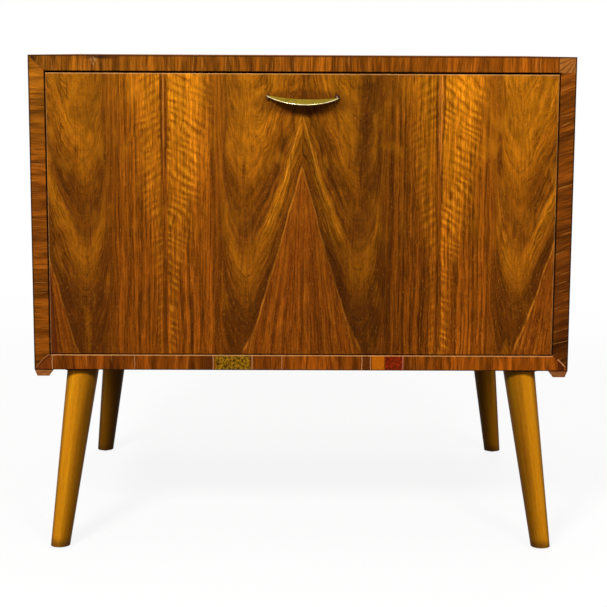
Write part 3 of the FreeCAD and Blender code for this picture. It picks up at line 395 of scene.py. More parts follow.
def cross_band(name, along_x, patches, joints, ends, slant=0.0):
    """Short-grained banding. Patches are (start, end, colour, speckle) along the edge in
    millimetres, joints are (place, half width, colour), ends is its colour at each end, and
    slant tilts the grain."""
    band = Finish(name)
    x, y, z = band.place()
    along = x if along_x else z
    short = z if along_x else x
    bend = (band.grain(along / 30, short / 40, 2.0, detail=2) - 0.5) * 7 + short * slant
    share = band.fade(along, ends[0][0], ends[1][0])
    colour = band.blend(share, stain(*ends[0][1]), stain(*ends[1][1]))
    length = band.flecks((along + bend) / 37, 0.0, 5.0)
    colour = band.tone(colour, 0.64 + 0.54 * length)
    broad = band.grain((along + bend) / 9, short / 90, 0.0, detail=3)
    fine = band.grain((along + bend) / 1.1, short / 28, 4.0, detail=3, rough=0.65)
    colour = band.tone(colour, 0.40 + 1.15 * band.fade(broad, 0.24, 0.76))
    colour = band.tone(colour, 0.54 + 0.88 * band.fade(fine, 0.30, 0.66))
    thin = band.grain((along + bend) / 2.6, short / 60, 9.0, detail=2)
    colour = band.blend(band.fade(thin, 0.62, 0.68) * 0.6, colour, stain(60, 24, 4))
    colour = band.blend(band.fade(thin, 0.36, 0.31) * 0.4, colour, stain(186, 116, 44))
    for start, end, patch, speckle in patches:
        inside = band.fade(band.line(along, (start + end) / 2, (end - start) / 2 + 0.4), 0.0, 0.05)
        mottle = band.grain(along / 3.0, short / 3.6, y / 3, detail=4, rough=0.8)
        level = (1 - speckle) + speckle * 2 * band.fade(mottle, 0.40, 0.62)
        worn = band.tone(stain(*patch)[:3], level)
        colour = band.blend(inside * 0.92, colour, worn)
    for where, half_width, ink in joints:
        wander = (band.grain(short / 6, where, 1.0) - 0.5) * 1.6
        colour = band.blend(band.line(along + wander, where, half_width) * 0.85,
                            colour, stain(*ink))
    return band, colour, fine, (x, y, z)


band_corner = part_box("band_top")[1] * 1000
BAND_SIDE = band_corner.x
BAND_TOP = band_corner.z
BAND_FOOT = (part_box("band_bottom")[0] * 1000).z
LOWER_MITRE = BAND_SIDE + BAND_FOOT


def close_band(band, colour, fine, x, z):
    """Adds the open corner joints and painted shade along the outer edges, and wires the finish up.
    """
    top_right = band.fade(x, BAND_SIDE - 22.4, BAND_SIDE - 21.8)
    top_right = top_right * band.fade(z, BAND_TOP - 21.0, BAND_TOP - 19.6)
    turn = band.maths("ARCTAN2", BAND_TOP + 0.6 - z, BAND_SIDE + 1.0 - x)
    spokes = band.fade(band.maths("SINE", turn * 21), 0.35, 0.95) * top_right
    worn_end = band.tone(stain(156, 94, 36)[:3], 0.7 + 0.6 * fine)
    colour = band.blend(top_right * 0.85, colour, worn_end)
    colour = band.blend(spokes * 0.6, colour, stain(66, 32, 10))
    low_left = band.fade(x, 22.0 - BAND_SIDE, 21.0 - BAND_SIDE)
    low_left = low_left * band.fade(z - x, LOWER_MITRE + 0.4, LOWER_MITRE - 0.2)
    colour = band.blend(low_left * 0.55, colour, stain(100, 42, 12))
    left_mitre = band.fade(x, 26.0 - BAND_SIDE, 22.0 - BAND_SIDE)
    left_mitre = left_mitre * band.fade(z, BAND_FOOT + 21.5, BAND_FOOT + 20.0)
    mitre_way = z - x - LOWER_MITRE + ((x + (BAND_SIDE - 12.0)) ** 2.0) * 0.02
    colour = band.blend(band.line(mitre_way, 0.0, 1.5) * left_mitre * 0.8, colour, stain(42, 12, 6))
    colour = band.blend(band.line(mitre_way, 2.2, 1.2) * left_mitre * 0.5, colour,
                        stain(186, 124, 72))
    low_right = band.fade(x, BAND_SIDE - 13.8, BAND_SIDE - 12.8)
    low_right = low_right * band.fade(x, BAND_SIDE - 4.6, BAND_SIDE - 5.6)
    low_right = low_right * band.fade(x + z, LOWER_MITRE + 0.8, LOWER_MITRE - 0.4)
    colour = band.blend(low_right * 0.8, colour, stain(62, 18, 8))
    open_joint = band.line(x + z, LOWER_MITRE + 2.2, 1.7)
    open_joint = open_joint * band.fade(x, BAND_SIDE - 14.2, BAND_SIDE - 12.4)
    open_joint = open_joint * band.fade(x, BAND_SIDE - 2.4, BAND_SIDE - 4.2)
    colour = band.blend(open_joint * 0.9, colour, stain(206, 134, 84))
    # painted shade: the band's top, bottom and end edges are darkened
    level_edge_shade = band.maths("MAXIMUM", band.fade(z, BAND_TOP - 2.2, BAND_TOP - 0.8),
                            band.fade(z, BAND_FOOT + 1.8, BAND_FOOT + 0.6))
    outer = band.maths("MAXIMUM", band.fade(abs(x), BAND_SIDE - 2.6, BAND_SIDE - 1.1), level_edge_shade)
    colour = band.blend(outer * 0.85, colour, stain(42, 20, 6))
    return band.close(colour, 0.38 + 0.16 * fine, fine, 0.08, Specular_IOR_Level=0.03)


PALE_JOINT = (196, 140, 92)
DARK_JOINT = (44, 14, 4)

band, colour, fine, spot = cross_band(
    "top_cross_band", True,
    [],
    [(-318, 0.5, (120, 60, 8)), (326.5, 0.8, DARK_JOINT), (329.3, 0.9, PALE_JOINT),
     (57, 0.5, DARK_JOINT)],
    [(-350, (126, 70, 8)), (350, (138, 70, 7))])
x, y, z = spot
drift_of_chip = band.grain(x / 9, z / 9, 2.0, detail=2)
chip = band.line(x, -258.0, 34.0)
chip = chip * band.fade(z + drift_of_chip * 3, BAND_TOP - 4.5, BAND_TOP - 2.0)
colour = band.blend(chip * 0.9, colour, stain(44, 24, 12))
scored = band.grain(x / 1.4, z / 7, 6.0, detail=3)
scratch = band.line(x, -266.0, 7.0) * band.fade(scored, 0.5, 0.62)
scratch = scratch * band.fade(z, BAND_TOP - 18.0, BAND_TOP - 6.0)
colour = band.blend(scratch * 0.7, colour, stain(206, 150, 96))
from_corner = ((x + (BAND_SIDE - 5.5)) ** 2.0 + (z - (BAND_TOP - 4.5)) ** 2.0) ** 0.5
colour = band.blend(band.fade(from_corner, 5.4, 2.2) * 0.9, colour, stain(44, 26, 12))
coat(["band_top"], close_band(band, colour, fine, x, z))

band, colour, fine, spot = cross_band(
    "left_cross_band", False,
    [], [(575, 0.5, DARK_JOINT), (512, 0.6, DARK_JOINT), (438, 0.4, DARK_JOINT)],
    [(470, (118, 60, 7)), (640, (150, 86, 12))])
coat(["band_left"], close_band(band, colour, fine, spot[0], spot[2]))

band, colour, fine, spot = cross_band(
    "right_cross_band", False,
    [], [(602, 0.4, DARK_JOINT), (470, 0.4, DARK_JOINT), (330, 0.5, DARK_JOINT)],
    [(250, (88, 41, 5)), (640, (112, 56, 7))], slant=-0.35)
coat(["band_right"], close_band(band, colour, fine, spot[0], spot[2]))

band, colour, fine, spot = cross_band(
    "bottom_cross_band", True,
    [(-128, -116, (78, 36, 6), 0.2), (-115, -65.5, (120, 84, 10), 0.8),
     (80, 90, (88, 40, 6), 0.2), (92, 109, (176, 92, 6), 0.12), (109, 134, (116, 26, 5), 0.6)],
    [(-129.6, 0.7, DARK_JOINT), (-115.8, 0.8, PALE_JOINT), (-64.8, 0.9, PALE_JOINT),
     (-25.7, 0.6, PALE_JOINT), (7.2, 0.6, DARK_JOINT), (77.5, 0.6, DARK_JOINT),
     (79.3, 0.8, PALE_JOINT), (90.5, 0.8, PALE_JOINT), (133.0, 0.8, (190, 120, 100)),
     (149.4, 0.5, DARK_JOINT), (-326.5, 0.8, PALE_JOINT), (-218.6, 0.6, PALE_JOINT)],
    [(-350, (118, 56, 6)), (350, (142, 69, 7))])
x, y, z = spot
# a painted highlight along the band's upper arris, under the flap
upper_arris_highlight = band.fade(z, BAND_FOOT + 18.6, BAND_FOOT + 19.6)
upper_arris_highlight = upper_arris_highlight * band.fade(abs(x), BAND_SIDE - 19.0, BAND_SIDE - 21.0)
colour = band.blend(upper_arris_highlight * 0.7, colour, stain(204, 146, 88))
coat(["band_bottom"], close_band(band, colour, fine, x, z))


# ---------------------------------------------------------------- carcass boards
# Four 20 mm core boards, veneered in walnut outside and in, with mitred and splined
# corners. The grain runs up the sides and along the top and bottom. Their back edges
# show the core strips.

def board_finish(name, grain_up, seed, gloss=0.02):
    """Veneer with its grain up the board or along it, and bare core strips at the back."""
    board = Finish(name)
    x, over, z = board.place()
    back = board.facing()[1]
    along = z if grain_up else x
    drift = board.grain(over / 150, along / 900, seed, detail=2, rough=0.4) - 0.5
    leaf = board.flecks((over + 2000) / 166, seed)
    ring = (over + drift * 110 + leaf * 90) / 12
    broad = board.grain(ring, along / 1500, seed + 3, detail=5, rough=0.64)
    colour = board.ramp(broad, [(0.26, (80, 39, 8)), (0.42, (112, 58, 10)),
                                (0.54, (140, 78, 14)), (0.66, (158, 92, 20)),
                                (0.78, (116, 60, 10))])
    fine = board.grain((over + drift * 20) / 0.9, along / 36, seed, detail=3, rough=0.7)
    colour = board.tone(colour, 0.72 + 0.54 * board.fade(fine, 0.28, 0.66))
    pore = board.fade(board.grain(over / 1.1, along / 16, seed + 7, detail=2), 0.60, 0.72)
    colour = board.blend(pore * 0.45, colour, stain(50, 22, 4))
    shimmer = board.grain(over / 34, along / 8, seed + 9, detail=2)
    cloud = board.grain(x / 120, over / 120, z / 120, detail=3)
    colour = board.tone(colour, 0.70 + 0.4 * cloud + 0.2 * shimmer)
    strip = board.flecks(along / 24, seed)
    sawn = board.grain(x / 1.2, z / 1.2, over / 30, detail=3)
    core = board.tone(stain(186, 147, 95)[:3], 0.7 + 0.35 * strip + 0.15 * sawn)
    bare = board.fade(back, 0.85, 0.95) * board.fade(over, 246.0, 249.0)
    colour = board.blend(bare, colour, core)
    return board.close(colour, 0.38 + 0.14 * cloud, fine, 0.07, Specular_IOR_Level=gloss)


coat(["left_side"], board_finish("left_side_walnut", True, 11.0))
coat(["right_side"], board_finish("right_side_walnut", True, 12.0))
coat(["top_panel"], board_finish("top_walnut", False, 13.0, gloss=0.0))
coat(["bottom_panel"], board_finish("bottom_walnut", False, 14.0))


# ---------------------------------------------------------------- thin boards inside and behind
# The dividers, the back and the corner splines are birch plywood: a pale face with a
# faint flame, and edges striped by the plies. The dividers are housed in the boards, the
# splines glued into the mitres, and the back is screwed into its rebate.

def plywood_finish(name, across_axis, seed, tint=(196, 154, 98)):
    """Birch faces that look along x or y, with the plies in stripes on the edges."""
    ply = Finish(name)
    x, y, z = ply.place()
    flat, through = (y, x) if across_axis == "x" else (x, y)
    drift = ply.grain(flat / 190, z / 520, seed, detail=2, rough=0.4) - 0.5
    flame = ply.grain((flat + drift * 130) / 8, z / 1000, seed, detail=5, rough=0.66)
    colour = ply.ramp(flame, [(0.32, (160, 113, 64)), (0.44, tint), (0.56, tint),
                              (0.70, (212, 174, 120))])
    fine = ply.grain(flat / 1.0, z / 34, seed + 5, detail=4, rough=0.7)
    colour = ply.tone(colour, 0.70 + 0.56 * ply.fade(fine, 0.24, 0.72))
    vein = ply.fade(ply.grain(flat / 1.2, z / 12, seed + 2, detail=2), 0.60, 0.74)
    colour = ply.blend(vein * 0.5, colour, stain(128, 84, 44))
    plies = ply.maths("SINE", through * 4.4)
    right, back = ply.facing()[:2]
    squarely = abs(right) if across_axis == "x" else abs(back)
    edge = ply.fade(squarely, 0.6, 0.3)
    colour = ply.tone(colour, 1.0 - edge * (0.16 + 0.2 * plies))
    dust = ply.grain(x / 60, y / 60, z / 60, detail=4)
    colour = ply.tone(colour, 0.84 + 0.28 * dust)
    return ply.close(colour, 0.46 + 0.2 * dust, fine, 0.06, Specular_IOR_Level=0.25)


coat(["back_panel"], plywood_finish("back_ply", "y", 21.0, tint=(188, 144, 88)))
coat(["left_divider", "right_divider"], plywood_finish("divider_ply", "x", 22.0))
coat(["corner_splines"], plywood_finish("spline_ply", "x", 23.0))


# ---------------------------------------------------------------- flap core, lipping and lining
# The flap is a core board, lipped all round in solid walnut and lined inside with
# straight-grained walnut that serves as the pouring surface when it is down.

core = Finish("flap_core")
x, y, z = core.place()
strip = core.flecks(x / 24, 3.0)
fibre = core.grain(x / 1.4, z / 50, y / 1.4, detail=3)
core_colour = core.tone(core.blend(strip, stain(196, 158, 104), stain(172, 132, 82)),
                        0.8 + 0.3 * fibre)
coat(["flap_board"], core.close(core_colour, 0.6 + 0.1 * fibre, fibre, 0.1))

lipping = Finish("walnut_lipping")
x, y, z = lipping.place()
upright = lipping.fade(abs(x), 321.0, 322.5)
along = lipping.put("Mix", {0: upright, 2: x, 3: z})
over = lipping.put("Mix", {0: upright, 2: z, 3: x})
figure = lipping.grain((over + y) / 3, along / 190, 6.0, detail=4, rough=0.6)
lip_colour = lipping.ramp(figure, [(0.28, (72, 32, 6)), (0.5, (118, 58, 10)),
                                   (0.72, (152, 82, 18))])
lip_fine = lipping.grain((over + y) / 0.7, along / 24, 8.0, detail=3, rough=0.65)
lip_colour = lipping.tone(lip_colour, 0.76 + 0.44 * lip_fine)
coat(["flap_lipping"], lipping.close(lip_colour, 0.36 + 0.14 * lip_fine, lip_fine, 0.06,
                                     Specular_IOR_Level=0.2))

GLASS_FOOT = 33.0
GLASS_STOOD_ACROSS = -96.0
GLASS_STOOD_UP = 420.0

lining = Finish("walnut_lining")
x, y, z = lining.place()
drift = lining.grain(z / 120, x / 420, 4.0, detail=3) - 0.5
broad = lining.grain((z + drift * 120) / 12, x / 800, 5.0, detail=4, rough=0.6)
lining_colour = lining.ramp(broad, [(0.26, (92, 48, 12)), (0.5, (146, 86, 30)),
                                    (0.74, (176, 112, 46))])
lining_fine = lining.grain((z + drift * 20) / 0.9, x / 36, 6.0, detail=3, rough=0.65)
lining_colour = lining.tone(lining_colour, 0.76 + 0.46 * lining.fade(lining_fine, 0.28, 0.66))
from_glass = ((x - GLASS_STOOD_ACROSS) ** 2.0 + (z - GLASS_STOOD_UP) ** 2.0) ** 0.5
ring_mark = lining.line(from_glass, GLASS_FOOT, 1.6)
ring_mark = ring_mark * lining.fade(lining.grain(x / 30, z / 30, 2.0), 0.42, 0.6)
lining_colour = lining.blend(ring_mark * 0.35, lining_colour, stain(206, 170, 120))
coat(["flap_lining"], lining.close(lining_colour, 0.32 + 0.2 * broad + ring_mark * 0.2,
                                   lining_fine, 0.06, Specular_IOR_Level=0.2))


# ---------------------------------------------------------------- legs
# Four round tapered beech legs, turned, stained golden and lacquered, splayed out to the
# corners, each screwed up to its plate by a hanger bolt. The feet are rubbed dark. Shade is
# painted on them: the back pair is darker, as in the carcass's shadow, each leg is darker on
# its inner side and outer edge, and has a dark band at its top under the carcass.

SIDE_SPLAY = math.tan(math.radians(7.23))
END_SPLAY = math.tan(math.radians(9.03))
GRAIN_TOP = 245.0

for name in ("leg_front_left", "leg_front_right", "leg_back_left", "leg_back_right"):
    side = -1 if name.endswith("left") else 1
    end = -1 if "front" in name else 1
    beech = Finish(name + "_beech")
    x, y, z = beech.place()
    drop = GRAIN_TOP - z
    in_x = x - side * SIDE_SPLAY * drop
    in_y = y - end * END_SPLAY * drop
    seed = 30.0 + side + end * 2
    rings = beech.grain(in_x / 9, in_y / 9, z / 420 + seed, detail=3, rough=0.55)
    colour = beech.ramp(rings, [(0.25, (162, 97, 8)), (0.5, (184, 116, 8)), (0.75, (200, 133, 12))])
    rays = beech.grain(in_x / 0.8, in_y / 0.8, z / 11 + seed, detail=3, rough=0.65)
    colour = beech.tone(colour, 0.86 + 0.24 * beech.fade(rays, 0.3, 0.66))
    blotch = beech.grain(x / 30, y / 30, z / 110 + seed, detail=4, rough=0.5)
    colour = beech.tone(colour, 1.10 + 0.25 * blotch)
    # painted shade: darker on the side facing under the carcass and at the outer edge, and the back
    # pair darker
    right = beech.facing()[0]
    inner = beech.fade(right * side, 0.70, -1.0)
    outer = beech.fade(right * side, 0.52, 1.0)
    shade = 1.0 if end < 0 else 0.50 + 0.16 * side
    colour = beech.tone(colour, shade * (1.0 - 0.74 * inner))
    colour = beech.tone(colour, 1.0 - 0.58 * outer)
    scuff = beech.fade(z + (blotch - 0.5) * 30, 16.0, 2.0)
    colour = beech.blend(scuff * 0.7, colour, stain(62, 34, 10))
    # painted shade at the top of each leg, under the carcass
    leg_top = (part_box(name)[1] * 1000).z
    painted_top_shade = beech.fade(z, leg_top - 3.0, leg_top + 1.5)
    colour = beech.blend(painted_top_shade * 0.7, colour, stain(56, 28, 6))
    coat([name], beech.close(colour, 0.40 + 0.22 * blotch, rays, 0.05, Specular_IOR_Level=0.04))


# ---------------------------------------------------------------- runners
# Two walnut runners of tapered section, screwed under the ends of the carcass from
# front to back, with their end grain showing at the front.

runner = Finish("runner_walnut")
x, y, z = runner.place()
back = runner.facing()[1]
length_grain = runner.grain(x / 2.4, y / 210, z / 2.4, detail=4, rough=0.6)
colour = runner.ramp(length_grain, [(0.28, (78, 36, 6)), (0.5, (124, 64, 10)),
                                    (0.74, (156, 90, 22))])
end_rings = runner.grain(x / 9, z / 2.2, 3.0, detail=4, rough=0.6)
end_colour = runner.ramp(end_rings, [(0.28, (92, 46, 12)), (0.5, (138, 78, 28)),
                                     (0.74, (168, 104, 46))])
end_colour = runner.tone(end_colour, 0.9 - 0.14 * (x > 0.0))
colour = runner.blend(runner.fade(abs(back), 0.8, 0.95), colour, end_colour)
coat(["left_runner", "right_runner"], runner.close(colour, 0.42 + 0.14 * length_grain,
                                                   length_grain, 0.08, Specular_IOR_Level=0.2))


# ---------------------------------------------------------------- glass shelf
# One 6 mm float glass shelf between the dividers, ground on its edges, resting on four
# studs. Its green shows only at the edges.

glass = Finish("shelf_float_glass")
x, y, z = glass.place()
upward = glass.facing()[2]
edge = glass.fade(abs(upward), 0.7, 0.2)
haze = glass.grain(x / 30, y / 30, z / 30, detail=4)
glass_colour = glass.blend(edge, stain(240, 247, 243), stain(150, 205, 180))
coat(["glass_shelf"], glass.close(glass_colour, 0.02 + 0.05 * haze + 0.3 * edge, haze, 0.01,
                                  Transmission_Weight=1.0, IOR=1.5))


# ---------------------------------------------------------------- pull
# A drooping crescent bow of cast brass, 93 mm across, on two short riveted posts, each
# held by a screw from inside the flap. Its upper face has gone green, its lip is rubbed
# bright, and it hangs a little lower at the right. The posts are painted dark as shade,
# with a painted highlight at the middle of each head.

BOW_SPAN = 93.0
BOW_TIP = 3.0
BOW_OUTER_SAG = 19.4
BOW_INNER_SAG = 6.0
BOW_DROOP = 29.0
BOW_HANG = 1.9
BOW_STEPS = 40
BOW_SIDES = 28
BOW_STANDS_OFF = Vector((0, -3.8, 0))
BOW_END_SHRINK = (1.0, 0.8, 0.35)
BOW_END_REACH = (0, 0.7, 1.2)
POST_SPACING = 88.0
POST_SIDES = 24
POST_PROFILE = [(3.0, 0.0), (3.0, 0.5), (2.5, 0.9), (2.3, 3.4), (2.6, 3.8), (2.7, 4.2),
                (2.4, 4.6), (1.4, 4.7), (1.3, 4.5), (1.1, 4.75), (0.7, 4.9), (0.25, 4.95)]
PULL_PLACE = Vector((0.0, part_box("flap_veneer")[0][1], 0.594))


def arc_sag(span, sag, share):
    """A point on a shallow arc from one tip to the other, share running from -1 to 1."""
    radius = (span * span / 4 + sag * sag) / (2 * sag)
    across = share * span / 2
    return Vector((across, -(math.sqrt(radius * radius - across * across) - (radius - sag)), 0))


def skin(mesh, rings):
    """Joins rings of points into a tube with closed ends."""
    laid = [[mesh.verts.new(point) for point in ring] for ring in rings]
    count = len(laid[0])
    for first, second in zip(laid, laid[1:]):
        for i in range(count):
            j = (i + 1) % count
            mesh.faces.new((first[i], first[j], second[j], second[i]))
    mesh.faces.new(tuple(reversed(laid[0])))
    mesh.faces.new(tuple(laid[-1]))


def piece(name, mesh, materials, body, replaced=()):
    """Makes an object of a mesh drawn in metres and fixes it to its body."""
    bmesh.ops.recalc_face_normals(mesh, faces=mesh.faces)
    for face in mesh.faces:
        face.smooth = True
    data = bpy.data.meshes.new(name)
    mesh.to_mesh(data)
    mesh.free()
    for material in materials:
        data.materials.append(material)
    made = bpy.data.objects.new(name, data)
    scene.collection.objects.link(made)
    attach(made, body)
    for node in replaced:
        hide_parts(node)
    return made


bow = bmesh.new()
hang = (Matrix.Rotation(math.radians(BOW_HANG), 4, "Y")
        @ Matrix.Rotation(math.radians(BOW_DROOP), 4, "X"))
bow_rings = []
for step in range(-BOW_STEPS - 2, BOW_STEPS + 3):
    share = math.sin(min(max(step, -BOW_STEPS), BOW_STEPS) / BOW_STEPS * math.pi / 2)
    beyond_tip = max(abs(step) - BOW_STEPS, 0)
    shrink = BOW_END_SHRINK[beyond_tip]
    outer = arc_sag(BOW_SPAN, BOW_OUTER_SAG, share)
    inner = arc_sag(BOW_SPAN - 2 * BOW_TIP, BOW_INNER_SAG, share)
    middle = (outer + inner) / 2 + Vector((0, BOW_END_REACH[beyond_tip], 0))
    reach = (outer - inner) / 2 * shrink
    thick = (1.0 - 0.25 * share * share) * shrink
    ring = []
    for turn in range(BOW_SIDES):
        angle = turn / BOW_SIDES * math.tau
        along, over = math.cos(angle), math.sin(angle)
        along = math.copysign(abs(along) ** 0.55, along)
        rise = math.copysign(abs(over) ** 0.7, over) * thick
        dish = 0.30 * max(over, 0) * (1 - along * along) * (1 - share * share)
        point = middle + reach * along + Vector((0, 0, rise - dish))
        ring.append((hang @ point + BOW_STANDS_OFF) / 1000 + PULL_PLACE)
    bow_rings.append(ring)
skin(bow, bow_rings)
for face in bow.faces:
    spot = face.calc_center_median() * 1000 - PULL_PLACE * 1000
    flat = hang.inverted() @ (spot - BOW_STANDS_OFF)
    share = max(-1.0, min(1.0, flat.x / (BOW_SPAN / 2)))
    face.material_index = int(flat.y < arc_sag(BOW_SPAN, BOW_OUTER_SAG, share).y + 0.45)


def brass_finish(name, low, middle, high, roughness, metallic):
    """Cast brass, tarnished in three tones and brushed lengthways."""
    brass = Finish(name)
    x, y, z = brass.place()
    tarnish = brass.grain(x / 8, y / 8, z / 8, detail=5, rough=0.65)
    scratch = brass.grain(x / 16, y / 0.6, z / 0.6, detail=3)
    colour = brass.ramp(tarnish, [(0.3, low), (0.5, middle), (0.72, high)])
    colour = brass.tone(colour, 0.86 + 0.28 * scratch)
    return brass.close(colour, roughness + 0.2 * tarnish, scratch, 0.02, Metallic=metallic,
                       Specular_IOR_Level=0.15)


green_brass = brass_finish("pull_green_brass", (96, 80, 8), (120, 100, 14), (142, 120, 24),
                           0.46, 0.0)
rubbed_brass = brass_finish("pull_rubbed_brass", (206, 198, 128), (228, 220, 164), (244, 238, 208),
                            0.14, 0.9)
piece("pull_bow", bow, [green_brass, rubbed_brass], "flap", ["pull"])

posts = bmesh.new()
turns = [i / POST_SIDES * math.tau for i in range(POST_SIDES)]
for side in (-1, 1):
    centre = side * POST_SPACING / 2
    rings = []
    for radius, out in POST_PROFILE:
        rings.append([Vector((centre + radius * math.cos(a), -out, radius * math.sin(a))) / 1000
                      + PULL_PLACE for a in turns])
    skin(posts, rings)
# painted shade on the posts, and a painted highlight at the middle of each head
for face in posts.faces:
    spot = (face.calc_center_median() - PULL_PLACE) * 1000
    from_post = math.hypot(abs(spot.x) - POST_SPACING / 2, spot.z)
    face.material_index = int(from_post < 1.0 and -spot.y > 4.4)
shaded_post_brass = brass_finish("pull_dark_brass", (40, 22, 12), (58, 34, 18), (84, 54, 30), 0.5, 0.3)
highlit_post_brass = brass_finish("pull_rosy_brass", (120, 84, 66), (146, 108, 86), (170, 132, 104),
                          0.4, 0.3)
piece("pull_posts", posts, [shaded_post_brass, highlit_post_brass], "flap")


# ---------------------------------------------------------------- hinge and stay metalwork
# Brass pivot plates, sockets, guide blocks and studs, with brown brass washers; bright
# steel stay rods, stops, pins, plates and feet; worn steel bolts and glides; blackened
# leg plates, catch poles and strike plate. The plates are stamped and screwed on.

SCRATCH = 2.2


def metal_finish(name, low, high, roughness):
    """Stamped or drawn metal, clouded in two tones and finely scratched."""
    metal = Finish(name)
    x, y, z = metal.place()
    cloud = metal.grain(x / 7, y / 7, z / 7, detail=4, rough=0.6)
    lines = metal.grain(x / SCRATCH, y / SCRATCH, z / SCRATCH, detail=4, rough=0.7)
    colour = metal.ramp(cloud, [(0.3, low), (0.7, high)])
    colour = metal.tone(colour, 0.90 + 0.20 * lines)
    return metal.close(colour, roughness + 0.2 * (cloud - 0.5) + 0.1 * lines, lines, 0.006,
                       Metallic=1.0)


hinge_brass = metal_finish("hinge_brass", (150, 122, 52), (206, 180, 96), 0.34)
coat(["pivot_plate_left", "pivot_plate_right", "pivot_socket_left", "pivot_socket_right",
      "stay_block_left", "stay_block_right", "shelf_studs"], hinge_brass)
brown_brass = metal_finish("washer_brown_brass", (44, 26, 12), (66, 42, 20), 0.6)
coat(["pivot_washers"], brown_brass)
bright_steel = metal_finish("bright_steel", (168, 168, 164), (206, 206, 202), 0.24)
coat(["stay_rod_left", "stay_rod_right", "stay_stop_left", "stay_stop_right", "stay_pins",
      "stay_plate_left", "stay_plate_right", "stay_foot_left", "stay_foot_right"], bright_steel)
worn_steel = metal_finish("worn_steel", (84, 80, 74), (122, 118, 110), 0.5)
coat(["hanger_bolts", "foot_glides"], worn_steel)
dark_steel = metal_finish("blackened_steel", (24, 18, 14), (42, 34, 27), 0.7)
coat(["leg_plates", "catch_poles", "strike_plate"], dark_steel)


# ---------------------------------------------------------------- screws
# Slotted wood screws of blued steel, sunk flush in the boards, plates and fittings, and
# two cheese-headed machine screws that hold the pull from inside the flap. Each takes the
# place and length of its plain CAD screw, and the slots in each row are turned to different angles.

SCREW_SIDES = 28
SLOT_WIDTH = 0.22
SLOT_REACH = 0.8
SLOT_DEPTH = 0.34
SUNK_HEAD = [(0.00, 0.93), (0.05, 1.00), (0.16, 1.00), (0.95, 0.46)]
CHEESE_HEAD = [(0.00, 0.90), (0.07, 1.00), (0.60, 1.00), (0.60, 0.45)]
GIMLET_POINT = (2.2, 0.12)
BLUNT_END = (0.4, 0.7)
TURN_IN_ROW = 67
TURN_FOR_ROW = 31


def slotted_screw(head_radius, length, profile, tip):
    """A screw drawn in millimetres with its head's top at the origin and its shank going down.
    The profile gives depths and radii as shares of the head's radius, and the tip gives its
    length and last radius as shares of the shank's."""
    screw = bmesh.new()
    bmesh.ops.create_circle(screw, cap_ends=True, segments=SCREW_SIDES,
                            radius=head_radius * profile[0][1])
    half_slot = head_radius * SLOT_WIDTH / 2
    slot_end = head_radius * SLOT_REACH
    for normal, reach in (((0, 1, 0), half_slot), ((0, -1, 0), half_slot),
                          ((1, 0, 0), slot_end), ((-1, 0, 0), slot_end)):
        bmesh.ops.bisect_plane(screw, geom=screw.verts[:] + screw.edges[:] + screw.faces[:],
                               plane_co=Vector(normal) * reach, plane_no=normal)
    slot = [face for face in screw.faces if face.calc_center_median().length < head_radius * 0.02]
    sunk = bmesh.ops.extrude_face_region(screw, geom=slot)["geom"]
    bmesh.ops.delete(screw, geom=slot, context="FACES_ONLY")
    for vert in sunk:
        if isinstance(vert, bmesh.types.BMVert):
            vert.co.z -= head_radius * SLOT_DEPTH
    shank = profile[-1][1] * head_radius
    rings = [(depth * head_radius, radius * head_radius) for depth, radius in profile[1:]]
    tip_length, tip_radius = tip
    rings += [(length - shank * tip_length, shank), (length, shank * tip_radius)]
    rim = [edge for edge in screw.edges if edge.is_boundary]
    for depth, radius in rings:
        grown = bmesh.ops.extrude_edge_only(screw, edges=rim)["geom"]
        for vert in grown:
            if isinstance(vert, bmesh.types.BMVert):
                flat = Vector((vert.co.x, vert.co.y, 0)).normalized() * radius
                vert.co = (flat.x, flat.y, -depth)
        rim = [edge for edge in grown if isinstance(edge, bmesh.types.BMEdge)]
    bmesh.ops.edgeloop_fill(screw, edges=rim)
    # corners, edges and faces are put in a fixed order, the same each time
    middles = [(screw.verts, lambda vert: vert.co),
               (screw.edges, lambda edge: (edge.verts[0].co + edge.verts[1].co) / 2),
               (screw.faces, lambda face: face.calc_center_median())]
    for parts, middle_of in middles:
        ordered = sorted(parts, key=lambda part: tuple(round(c, 4) for c in middle_of(part)))
        for rank, part in enumerate(ordered):
            part.index = rank
        parts.sort()
    return screw


def islands(mesh):
    """The lowest and highest corners of each separate solid in a mesh, in millimetres."""
    solid = bmesh.new()
    solid.from_mesh(mesh)
    bmesh.ops.remove_doubles(solid, verts=solid.verts, dist=1e-7)
    left = set(solid.verts)
    found = []
    while left:
        group, waiting = [], [min(left, key=lambda vert: vert.index)]
        left.discard(waiting[0])
        while waiting:
            vert = waiting.pop()
            group.append(vert.co * 1000)
            for edge in vert.link_edges:
                other = edge.other_vert(vert)
                if other in left:
                    left.discard(other)
                    waiting.append(other)
        found.append([Vector([pick(spot[i] for spot in group) for i in range(3)])
                      for pick in (min, max)])
    solid.free()
    return sorted(found, key=lambda box: tuple(round(v, 1) for v in box[0]))


